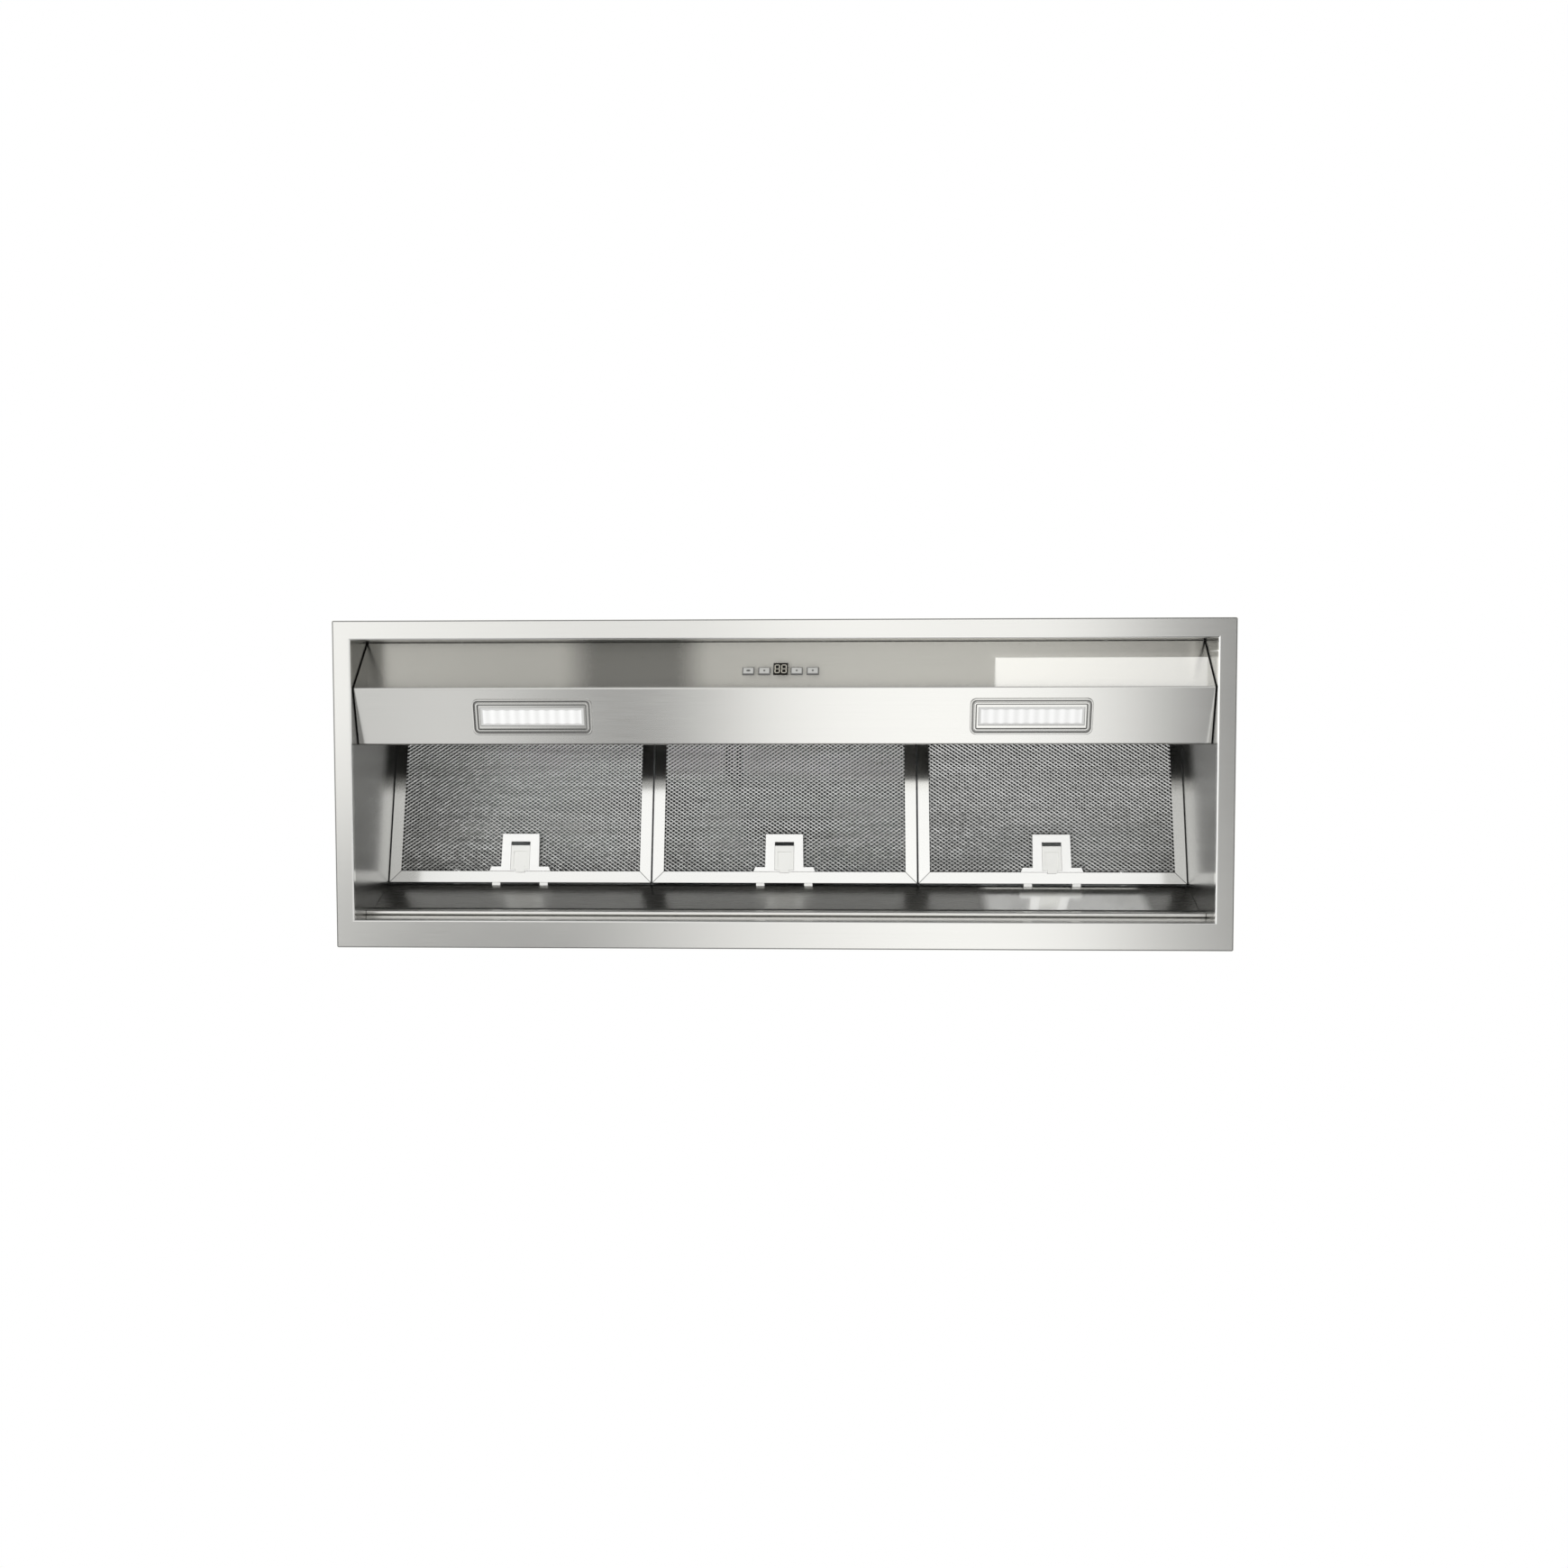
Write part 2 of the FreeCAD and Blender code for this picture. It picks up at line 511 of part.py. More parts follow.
def cut_mitres(body):
    """Hairline joints at 45 degrees across the frame's four lower corners."""
    lines = new_sketch(body, "XY", z="-Sizes.filter_thick / 2")
    wide = "Sizes.filter_width / 2"
    reach = "(Sizes.filter_bar - 0.01)"
    for x_sign in (-1, 1):
        for start, y_sign in (("Sizes.filter_lead", 1), (FILTER_END, -1)):
            corners = []
            for run, shift in (("0.3", 0), ("0.3", 1), (reach, 1), (reach, 0)):
                step = "%d * Sizes.mitre_width" % shift
                x = "%d * (%s - %s)" % (x_sign, wide, run)
                y = "%s + %d * (%s + %s * 0.7)" % (start, y_sign, run, step)
                corners.append((x, y))
            polygon(lines, corners)
    pocket(body, lines, "Sizes.mitre_deep", flip=True)


def make_filter_mesh(side, number):
    """Three sheets of expanded aluminium held in the frame's channel."""
    layers = []
    half = measure("Sizes.filter_width / 2 - Sizes.filter_gauge - Sizes.latch_play")
    start = measure("Sizes.filter_lead + Sizes.filter_gauge + Sizes.latch_play")
    end = measure(FILTER_END + " - Sizes.filter_gauge - Sizes.latch_play")
    gauge = measure("Sizes.mesh_gauge")
    neck_half = measure("Sizes.neck_width / 2 + Sizes.bay_play")
    neck_start = measure(FILTER_END + " - Sizes.filter_bar - Sizes.latch_base_bar"
                         " - 2 * Sizes.latch_travel - Sizes.crossbar - Sizes.bay_play")
    bar_half = measure("Sizes.tongue_pitch / 2 + Sizes.tongue_width / 2 + Sizes.bay_play")
    bar_start = measure(FILTER_END + " - Sizes.crossbar_back - Sizes.crossbar"
                        " - Sizes.latch_travel - Sizes.bay_play")
    for step in (-1, 0, 1):
        height = step * measure("Sizes.mesh_step") - gauge / 2
        corner = Vector(-half, start, height)
        layer = Part.makeBox(2 * half, end - start, gauge, corner)
        for reach, first in ((neck_half, neck_start), (bar_half, bar_start)):
            bay = Part.makeBox(2 * reach, end - first + 1, 2 * gauge,
                               Vector(-reach, first, height - gauge / 2))
            layer = layer.cut(bay)
        layers.append(layer)
    piece = new_shape("filter_mesh_" + side, Part.makeCompound(layers))
    filter_place(piece, number)


# The latch stands on the frame's rear bar. Its own heights are measured from the filter's middle.
BAR_EDGE = "(%s - Sizes.filter_bar)" % FILTER_END
LATCH_TOP = "(Sizes.filter_gauge - Sizes.filter_thick / 2 + 0.1)"
LATCH_FACE = "(-Sizes.filter_thick / 2 - Sizes.latch_proud)"
WINDOW_END = "(%s - 1.5)" % BAR_EDGE


def make_latch_base(side, number):
    """Moulded frame of the latch, with a wide foot along the filter's rear bar."""
    body = new_body("latch_base_" + side)
    plate = new_sketch(body, "XY", z=LATCH_FACE)
    rim = "Sizes.latch_width / 2"
    foot = "Sizes.latch_base_width / 2"
    start = "%s - Sizes.latch_length" % BAR_EDGE
    shoulder = "%s - Sizes.latch_base_bar" % BAR_EDGE
    polygon(plate, (("-%s + 0.6" % rim, start), ("%s - 0.6" % rim, start), (rim, shoulder),
                    ("%s - 2" % foot, shoulder), (foot, BAR_EDGE), ("-" + foot, BAR_EDGE),
                    ("-%s + 2" % foot, shoulder), ("-" + rim, shoulder)))
    block = pad(body, plate, "%s - %s" % (LATCH_TOP, LATCH_FACE))
    low = measure(LATCH_FACE)
    round_edges(body, block, "0.5", lambda edge: edge.BoundBox.ZMax < low + 0.01)
    window = new_sketch(body, "XY")
    rectangle(window, "-Sizes.window_width / 2", "Sizes.window_width / 2",
              "%s - Sizes.window_length" % WINDOW_END, WINDOW_END)
    pocket(body, window, "30", "Symmetric")
    notch = new_sketch(body, "XY", z=LATCH_FACE)
    rectangle(notch, "-Sizes.thumb_width / 2 - Sizes.latch_play",
              "Sizes.thumb_width / 2 + Sizes.latch_play", "%s - 2" % WINDOW_END, BAR_EDGE + " + 1")
    pocket(body, notch, "1.2", flip=True)
    filter_place(body, number)


def make_latch_slide(side, number):
    """Sliding bolt: a ribbed thumb pad in the window, a crossbar behind and two tongues."""
    body = new_body("latch_slide_" + side)
    half = "(Sizes.window_width / 2 - Sizes.latch_play)"
    start = "(%s - Sizes.window_length + Sizes.latch_travel + Sizes.latch_play)" % WINDOW_END
    end = "(%s - Sizes.latch_play)" % WINDOW_END
    low = "(%s + Sizes.latch_play)" % LATCH_FACE
    bolt_low = "(%s - Sizes.tongue_thick / 2)" % TONGUE_MID
    bolt = new_sketch(body, "XY", z=bolt_low)
    outer = "(Sizes.tongue_pitch / 2 + Sizes.tongue_width / 2)"
    inner = "(Sizes.tongue_pitch / 2 - Sizes.tongue_width / 2)"
    neck = "Sizes.neck_width / 2"
    neck_start = "(%s - 10)" % end
    bar_end = "(%s - Sizes.crossbar_back)" % FILTER_END
    bar_start = "(%s - Sizes.crossbar)" % bar_end
    tip = "(%s + Sizes.tongue_reach)" % FILTER_END
    polygon(bolt, (("-" + neck, neck_start), (neck, neck_start), (neck, bar_start),
                   (outer, bar_start), (outer, tip), (inner, tip), (inner, bar_end),
                   ("-" + inner, bar_end), ("-" + inner, tip), ("-" + outer, tip),
                   ("-" + outer, bar_start), ("-" + neck, bar_start)))
    pad(body, bolt, "Sizes.tongue_thick")
    thumb = new_sketch(body, "XY", z=low)
    rectangle(thumb, "-" + half, half, start, end)
    pad(body, thumb, "%s - %s" % (bolt_low, low))
    dish = new_sketch(body, "XY", z=low)
    rectangle(dish, "-%s + Sizes.slide_rib" % half, "%s - Sizes.slide_rib" % half,
              start + " + 6.5", end + " - 3")
    pocket(body, dish, "Sizes.slide_dish", flip=True)
    lip = new_sketch(body, "XY", z=low)
    rectangle(lip, "-Sizes.thumb_width / 2", "Sizes.thumb_width / 2",
              end + " - 4", "%s + 3" % end)
    pad(body, lip, "0.8")
    filter_place(body, number)


# ---------------------------------------------------------------- lamps and controls

def lamp_place(piece, sign):
    """Stand a piece in a lamp's frame: its origin lies on the lamp face, +Z into the visor."""
    place(piece, sign + "Sizes.lamp_pitch / 2", RIDGE_Y, "Sizes.ridge_height", "Sizes.lamp_slope")


def corner_at(reach):
    """True for an upright edge that far to either side of the middle."""
    return lambda edge: upright(edge) and abs(abs(edge.CenterOfMass.x) - measure(reach)) < 0.01


def make_lamp_bezel(side, sign):
    """Stamped bezel with two raised rings and a collar through the visor."""
    body = new_body("lamp_bezel_" + side)
    face = new_sketch(body, "XY", z="-Sizes.bezel_proud")
    centred(face, "Sizes.bezel_length", "Sizes.bezel_width", "0", "Sizes.lamp_back")
    plate = pad(body, face, "Sizes.bezel_proud")
    round_edges(body, plate, "Sizes.bezel_round", upright)
    collar = new_sketch(body, "XY")
    centred(collar, "(Sizes.bezel_length - 9)", "(Sizes.bezel_width - 9)", "0", "Sizes.lamp_back")
    pad(body, collar, "Sizes.bezel_collar")
    rim = "2 * Sizes.bezel_rim"
    ring = "2 * (Sizes.bezel_rim + Sizes.bezel_groove)"
    well = "2 * (Sizes.bezel_rim + Sizes.bezel_groove + Sizes.bezel_ring)"
    for inset, radius, sinks in ((rim, "4", True), (ring, "3", False), (well, "2", True)):
        level = "-Sizes.bezel_proud" if sinks else "-Sizes.bezel_proud + Sizes.bezel_deep"
        step = new_sketch(body, "XY", z=level)
        centred(step, "(Sizes.bezel_length - %s)" % inset, "(Sizes.bezel_width - %s)" % inset,
                "0", "Sizes.lamp_back")
        if sinks:
            worked = pocket(body, step, "Sizes.bezel_deep", flip=True)
        else:
            worked = pad(body, step, "Sizes.bezel_deep", flip=True)
        step = round_edges(body, worked, radius,
                           corner_at("Sizes.bezel_length / 2 - %s / 2" % inset))
    low = measure("-Sizes.bezel_proud")
    round_edges(body, step, "0.7", lambda edge: edge.BoundBox.ZMax < low + 0.01)
    window = new_sketch(body, "XY")
    centred(window, "(Sizes.lens_length + 2 * Sizes.lens_play)",
            "(Sizes.lens_width + 2 * Sizes.lens_play)", "0", "Sizes.lamp_back")
    pocket(body, window, "40", "Symmetric")
    lamp_place(body, sign)


def make_lamp_lens(side, sign):
    """Frosted lens with softened edges."""
    body = new_body("lamp_lens_" + side)
    slab = new_sketch(body, "XY", z="-0.5")
    centred(slab, "Sizes.lens_length", "Sizes.lens_width", "0", "Sizes.lamp_back")
    block = pad(body, slab, "Sizes.lens_thick")
    round_edges(body, block, "0.6", lambda edge: edge.BoundBox.ZMax < -0.4)
    lamp_place(body, sign)


def make_led_board(side, sign):
    """Lamp board with its row of light sources."""
    body = new_body("led_board_" + side)
    sheet_face = new_sketch(body, "XY", z="Sizes.bezel_collar")
    centred(sheet_face, "(Sizes.lens_length + 3)", "(Sizes.lens_width + 4)", "0", "Sizes.lamp_back")
    pad(body, sheet_face, "Sizes.board_thick")
    source = new_sketch(body, "XY", z="Sizes.bezel_collar")
    centred(source, "Sizes.led_size", "Sizes.led_size",
            "-(Sizes.led_count - 1) * Sizes.led_pitch / 2", "Sizes.lamp_back")
    first = pad(body, source, "0.9", flip=True)
    row = body.newObject("PartDesign::LinearPattern", "led_row_" + side)
    row.Originals = [first]
    row.Direction = (source, ["H_Axis"])
    row.setExpression("Length", "(Sizes.led_count - 1) * Sizes.led_pitch")
    row.setExpression("Occurrences", "Sizes.led_count")
    body.Tip = row
    lamp_place(body, sign)


def make_lamp_can(side, sign):
    """Moulded can over the lamp, on the visor's inner face."""
    body = new_body("lamp_can_" + side)
    base = new_sketch(body, "XY", z="Sizes.visor_gauge")
    centred(base, "(Sizes.bezel_length - 3)", "(Sizes.bezel_width - 3)", "0", "Sizes.lamp_back")
    block = pad(body, base, "Sizes.lamp_can_deep")
    top = measure("Sizes.visor_gauge + Sizes.lamp_can_deep")
    soft = round_edges(body, block, "2", lambda edge: upright(edge) or edge.BoundBox.ZMin > top - 0.01)
    hollow(body, soft, "Sizes.lamp_can_wall", facing(0, 0, -1))
    lamp_place(body, sign)


def control_place(piece):
    """Stand a piece in the control face's frame: origin on the ridge, +Z into the visor."""
    place(piece, "0", RIDGE_Y, "Sizes.ridge_height", "-Sizes.control_slope")


def make_push_button(number, x):
    """Rectangular cap with a retaining skirt behind the sheet and a stem."""
    body = new_body("push_button_%d" % number)
    back = "-Sizes.button_back"
    cap = new_sketch(body, "XY", z="-Sizes.button_proud")
    centred(cap, "Sizes.button_width", "Sizes.button_tall", x, back)
    block = pad(body, cap, "Sizes.button_proud + Sizes.visor_gauge + Sizes.seat_gap")
    low = measure("-Sizes.button_proud")
    round_edges(body, block, "0.5", lambda edge: edge.BoundBox.ZMax < low + 0.01)
    skirt = new_sketch(body, "XY", z="Sizes.visor_gauge + Sizes.seat_gap")
    centred(skirt, "(Sizes.button_width + 1.6)", "(Sizes.button_tall + 1.6)", x, back)
    pad(body, skirt, "1")
    stem = new_sketch(body, "XY", z="Sizes.visor_gauge + Sizes.seat_gap + 1")
    centred(stem, "Sizes.stem_size", "Sizes.stem_size", x, back)
    pad(body, stem, "Sizes.stem_length")
    control_place(body)


def make_display_window():
    """Smoked window of the two-digit display, flush with the control face."""
    body = new_body("display_window")
    face = new_sketch(body, "XY", z="-0.3")
    centred(face, "(Sizes.display_width - 0.2)", "(Sizes.display_tall - 0.2)", "0",
            "-Sizes.display_back")
    block = pad(body, face, "Sizes.display_deep + 0.3")
    round_edges(body, block, "0.3", lambda edge: edge.BoundBox.ZMax < -0.29)
    control_place(body)


def make_control_board():
    """Circuit board with the display's base and four switches."""
    body = new_body("control_board")
    board = new_sketch(body, "XY", z="Sizes.display_deep")
    centred(board, "(Sizes.control_box_width - 2 * Sizes.control_box_wall - 2)",
            "(Sizes.control_box_tall - 2 * Sizes.control_box_wall - 2)", "0",
            "-Sizes.button_back - 1")
    pad(body, board, "Sizes.board_thick")
    switches = new_sketch(body, "XY", z="Sizes.display_deep")
    for x in button_places():
        centred(switches, "Sizes.switch_size", "Sizes.switch_size", x, "-Sizes.button_back")
    gap = ("(Sizes.display_deep - Sizes.visor_gauge - Sizes.seat_gap - 1 - Sizes.stem_length"
           " - Sizes.switch_gap)")
    pad(body, switches, gap, flip=True)
    control_place(body)


def make_control_box():
    """Moulded box over the control board, on the visor's inner face."""
    body = new_body("control_box")
    base = new_sketch(body, "XY", z="Sizes.visor_gauge")
    centred(base, "Sizes.control_box_width", "Sizes.control_box_tall", "0",
            "-Sizes.button_back - 1")
    block = pad(body, base, "Sizes.control_box_deep")
    soft = round_edges(body, block, "2", upright)
    hollow(body, soft, "Sizes.control_box_wall", facing(0, 0, -1))
    posts = new_sketch(body, "XY", z="Sizes.display_deep + Sizes.board_thick")
    for sign in ("-", ""):
        circle(posts, "2.5", sign + "(Sizes.control_box_width / 2 - 8)", "-Sizes.button_back - 1")
    pad(body, posts, "Sizes.visor_gauge + Sizes.control_box_deep - Sizes.control_box_wall"
        " - Sizes.display_deep - Sizes.board_thick")
    control_place(body)


# ---------------------------------------------------------------- blower

def make_motor_casing():
    """Folded box over the blower, with a lip all round its foot."""
    body = new_body("motor_casing")
    foot = new_sketch(body, "XY", z=LID_TOP)
    rectangle(foot, "-Sizes.casing_width / 2", "Sizes.casing_width / 2",
              "-Sizes.casing_front", "Sizes.casing_rear")
    block = pad(body, foot, "Sizes.casing_height")
    soft = round_edges(body, block, "Sizes.casing_round", upright)
    hollow(body, soft, "Sizes.steel", facing(0, 0, -1))
    lip = new_sketch(body, "XY", z=LID_TOP)
    lip_rear = "Sizes.casing_rear + 3"
    rectangle(lip, "-Sizes.casing_width / 2 - Sizes.casing_lip",
              "Sizes.casing_width / 2 + Sizes.casing_lip",
              "-Sizes.casing_front - Sizes.casing_lip", lip_rear)
    rectangle(lip, "-Sizes.casing_width / 2 + 6", "Sizes.casing_width / 2 - 6",
              "-Sizes.casing_front + 6", "Sizes.casing_rear - 6")
    pad(body, lip, "Sizes.steel")
    outlet = new_sketch(body, "XY", z=CASING_TOP)
    centred(outlet, "(Sizes.scroll_width - 2 * Sizes.scroll_gauge)",
            "(%s - %s - 2 * Sizes.scroll_gauge)" % (SCROLL_REACH, CUTOFF), "0", OUTLET_Y)
    pocket(body, outlet, "4 * Sizes.steel", "Symmetric")
    holes = new_sketch(body, "XY", z=LID_TOP)
    for x, y in lid_screw_places():
        circle(holes, "Sizes.screw_radius + Sizes.screw_play", x, y)
    pocket(body, holes, "2 * Sizes.steel", flip=True)


def scroll_profile(shrink):
    """Side view of the volute as a face: a growing spiral that runs into the outlet."""
    start = math.radians(measure("Sizes.tongue_angle"))
    small = measure("Sizes.wheel_radius + Sizes.scroll_clear")
    growth = measure("Sizes.scroll_growth")
    turn = 2 * math.pi - start
    spots = []
    steps = 10
    for step in range(steps + 1):
        angle = start + turn * step / steps
        radius = small + growth * step / steps - shrink
        spots.append(Vector(0, radius * math.cos(angle), radius * math.sin(angle)))
    curve = Part.BSplineCurve()
    curve.interpolate(spots)
    top = measure(CASING_TOP + " - Sizes.blower_height - Sizes.steel")
    if shrink:
        top += 5
    corners = [spots[-1], Vector(0, spots[-1].y, top), Vector(0, spots[0].y + shrink, top),
               Vector(0, spots[0].y + shrink, spots[0].z), spots[0]]
    if not shrink:
        corners.pop(3)
    edges = [curve.toShape()]
    edges += [Part.makeLine(one, two) for one, two in zip(corners, corners[1:])]
    return Part.Face(Part.Wire(edges))


def blower_place(piece):
    """Stand a piece on the blower's axis, which runs along X."""
    place(piece, "0", "Sizes.blower_back", "Sizes.blower_height")


def make_fan_scroll():
    """Volute with a round inlet in each cheek and a rectangular outlet at the top."""
    half = measure("Sizes.scroll_width / 2")
    gauge = measure("Sizes.scroll_gauge")
    solid = scroll_profile(0).extrude(Vector(2 * half, 0, 0))
    room = scroll_profile(gauge).extrude(Vector(2 * half - 2 * gauge, 0, 0))
    solid.translate(Vector(-half, 0, 0))
    room.translate(Vector(gauge - half, 0, 0))
    inlet = Part.makeCylinder(measure("Sizes.inlet_radius + Sizes.inlet_lip"), 3 * half,
                              Vector(-1.5 * half, 0, 0), Vector(1, 0, 0))
    blower_place(new_shape("fan_scroll", solid.cut(room).cut(inlet)))


def make_inlet_rings():
    """Rolled bell mouths in the two inlets."""
    radius = measure("Sizes.inlet_radius")
    lip = measure("Sizes.inlet_lip")
    gauge = measure("Sizes.scroll_gauge")
    half = measure("Sizes.scroll_width / 2")
    rings = []
    for sign in (-1, 1):
        centre = Vector(sign * (half - lip), radius + lip, 0)
        spots = (centre + Vector(0, -lip, 0), centre + Vector(0, gauge - lip, 0),
                 centre + Vector(sign * (lip - gauge), 0, 0), centre + Vector(sign * lip, 0, 0))
        inner = Part.Arc(spots[1], centre + Vector(sign, -1, 0) * ((lip - gauge) * math.sqrt(0.5)),
                         spots[2]).toShape()
        outer = Part.Arc(spots[3], centre + Vector(sign, -1, 0) * (lip * math.sqrt(0.5)),
                         spots[0]).toShape()
        wire = Part.Wire([outer, Part.makeLine(spots[0], spots[1]), inner,
                          Part.makeLine(spots[2], spots[3])])
        rings.append(Part.Face(wire).revolve(Vector(), Vector(1, 0, 0), 360))
    blower_place(new_shape("inlet_rings", Part.makeCompound(rings)))


def make_fan_wheel():
    """Double-inlet squirrel-cage wheel: forward-curved blades on a centre disc and end rings."""
    body = new_body("fan_wheel")
    outer, inner = "Sizes.wheel_radius", "Sizes.wheel_bore"
    disc = new_sketch(body, "YZ")
    circle(disc, "%s - 0.5" % outer)
    circle(disc, "Sizes.shaft_radius")
    pad(body, disc, "Sizes.wheel_disc", "Symmetric")
    hub = new_sketch(body, "YZ")
    circle(hub, "Sizes.hub_radius")
    circle(hub, "Sizes.shaft_radius")
    pad(body, hub, "12", "Symmetric")
    for sign in ("-", ""):
        ring = new_sketch(body, "YZ", z=sign + "(Sizes.wheel_width / 2 - Sizes.wheel_ring / 2)")
        circle(ring, outer)
        circle(ring, inner + " + 1")
        pad(body, ring, "Sizes.wheel_ring", "Symmetric")
    blade = new_sketch(body, "YZ")
    draw_blade(blade)
    first = pad(body, blade, "Sizes.wheel_width", "Symmetric")
    cage = body.newObject("PartDesign::PolarPattern", "fan_wheel_cage")
    cage.Originals = [first]
    cage.Axis = (blade, ["N_Axis"])
    cage.Angle = 360
    cage.setExpression("Occurrences", "Sizes.blade_count")
    body.Tip = cage
    blower_place(body)


def draw_blade(sketch):
    """One blade's section: two arcs of like bow, joined at the blade's root and tip."""
    gauge = measure("Sizes.blade_gauge")
    lead = math.radians(measure("Sizes.blade_lead"))
    root = measure("Sizes.wheel_bore") + 0.3
    tip = measure("Sizes.wheel_radius") - 0.3
    bow = measure("Sizes.blade_bow")
    ends = []
    for shift in (-gauge / 2, gauge / 2):
        foot = Vector(root, shift, 0)
        head = Vector(tip * math.cos(lead), tip * math.sin(lead) + shift, 0)
        ends.append((foot, head))
    arcs = []
    for foot, head in ends:
        chord = head - foot
        across = Vector(chord.y, -chord.x, 0).normalize()
        sag = bow - math.sqrt(bow * bow - chord.Length ** 2 / 4)
        middle = (foot + head) * 0.5 + across * sag
        arc = Part.Arc(foot, middle, head)
        arcs.append(sketch.addGeometry(arc))
    low, high = arcs
    root_line = sketch.addGeometry(Part.LineSegment(ends[0][0], ends[1][0]))
    tip_line = sketch.addGeometry(Part.LineSegment(ends[0][1], ends[1][1]))
    for geometry in (low, high, root_line, tip_line):
        sketch.addConstraint(Sketcher.Constraint("Block", geometry))


def make_fan_shaft():
    """Motor shaft, which turns with the wheel."""
    body = new_body("fan_shaft")
    disc = new_sketch(body, "YZ", z="-Sizes.motor_gap - Sizes.shaft_bore")
    circle(disc, "Sizes.shaft_radius")
    rod = pad(body, disc, "Sizes.motor_gap + Sizes.shaft_bore + Sizes.shaft_nose")
    nose = measure("Sizes.shaft_nose") - 0.1
    round_edges(body, rod, "0.8", lambda edge: edge.BoundBox.XMin > nose)
    blower_place(body)


def make_fan_motor():
    """Motor can with stepped end bells, inside the left inlet."""
    body = new_body("fan_motor")
    near = "(-Sizes.motor_gap)"
    far = "(%s - Sizes.motor_length)" % near
    side = new_sketch(body, "XY")
    bore = "(Sizes.shaft_radius + Sizes.shaft_play)"
    step = "(Sizes.motor_radius * 0.55)"
    blind = "(%s - Sizes.shaft_bore - 1)" % near
    polygon(side, ((blind, "0"), (blind, bore), (near, bore), (near, step),
                   ("%s - 4" % near, step), ("%s - 9" % near, "Sizes.motor_radius"),
                   ("%s + 9" % far, "Sizes.motor_radius"), ("%s + 4" % far, step),
                   (far, step), (far, "0")))
    turned = body.newObject("PartDesign::Revolution", "fan_motor_turned")
    turned.Profile = side
    turned.ReferenceAxis = (side, ["H_Axis"])
    turned.Angle = 360
    blower_place(body)


def make_motor_bracket():
    """Ring round the motor with three arms to the scroll's left cheek."""
    body = new_body("motor_bracket")
    far = "(-Sizes.motor_gap - Sizes.motor_length)"
    cheek = "(-Sizes.scroll_width / 2)"
    ring = new_sketch(body, "YZ", z="%s + Sizes.bracket_back" % far)
    circle(ring, "Sizes.motor_radius + 3")
    circle(ring, "Sizes.motor_radius")
    pad(body, ring, "Sizes.bracket_gauge * 2")
    arm = new_sketch(body, "YZ", z="%s + Sizes.bracket_back" % far)
    rectangle(arm, "-Sizes.bracket_arm / 2", "Sizes.bracket_arm / 2", "Sizes.motor_radius + 1",
              "Sizes.wheel_radius + 4")
    spoke = pad(body, arm, "Sizes.bracket_gauge")
    leg = new_sketch(body, "YZ", z="%s + Sizes.bracket_back" % far)
    rectangle(leg, "-Sizes.bracket_arm / 2", "Sizes.bracket_arm / 2",
              "Sizes.wheel_radius + 4 - Sizes.bracket_gauge", "Sizes.wheel_radius + 4")
    foot = pad(body, leg, "%s - %s - Sizes.bracket_back" % (cheek, far))
    spread = body.newObject("PartDesign::PolarPattern", "motor_bracket_arms")
    spread.Originals = [spoke, foot]
    spread.Axis = (arm, ["N_Axis"])
    spread.Angle = 360
    spread.Occurrences = 3
    body.Tip = spread
    blower_place(body)


# ---------------------------------------------------------------- duct collar

def collar_place(piece):
    """Stand a piece on the casing's top, under the duct."""
    place(piece, "0", OUTLET_Y, CASING_TOP)


def collar_screw_places():
    """Four screws at the corners of the collar's plate."""
    reach = "(Sizes.collar_plate / 2 - 8)"
    return [(x + reach, y + reach) for x in ("-", "") for y in ("-", "")]


def make_duct_collar():
    """Square plate with a round collar, a stop ring and beds for the flaps' rod."""
    body = new_body("duct_collar")
    plate = new_sketch(body, "XY")
    centred(plate, "Sizes.collar_plate", "Sizes.collar_plate")
    circle(plate, "Sizes.collar_radius - Sizes.collar_wall")
    for x, y in collar_screw_places():
        circle(plate, "Sizes.screw_radius + Sizes.screw_play", x, y)
    base = pad(body, plate, "Sizes.collar_plate_thick")
    edge_reach = measure("Sizes.collar_plate") / 2 - 0.01
    round_edges(body, base, "6",
                lambda edge: upright(edge) and abs(edge.CenterOfMass.x) > edge_reach)
    tube = new_sketch(body, "XY")
    circle(tube, "Sizes.collar_radius")
    circle(tube, "Sizes.collar_radius - Sizes.collar_wall")
    pad(body, tube, "Sizes.collar_plate_thick + Sizes.collar_height")
    stop = new_sketch(body, "XY", z="Sizes.stop_height")
    circle(stop, "Sizes.collar_radius - Sizes.collar_wall / 2")
    circle(stop, "Sizes.collar_radius - Sizes.collar_wall - Sizes.stop_width")
    pad(body, stop, "2")
    bed = new_sketch(body, "XZ")
    circle(bed, "Sizes.rod_radius", "0", ROD_Z)
    pocket(body, bed, "2 * (Sizes.collar_radius - Sizes.collar_wall + Sizes.rod_bed)", "Symmetric")
    collar_place(body)


ROD_Z = "(Sizes.stop_height + 2 + Sizes.flap_rise + Sizes.flap_gauge / 2 + Sizes.rod_lift)"


def make_flap_rod():
    """Rod across the collar that carries both flaps."""
    body = new_body("flap_rod")
    disc = new_sketch(body, "XZ")
    circle(disc, "Sizes.rod_radius", "0", ROD_Z)
    pad(body, disc, "2 * (Sizes.collar_radius - Sizes.collar_wall + Sizes.rod_bed)", "Symmetric")
    collar_place(body)


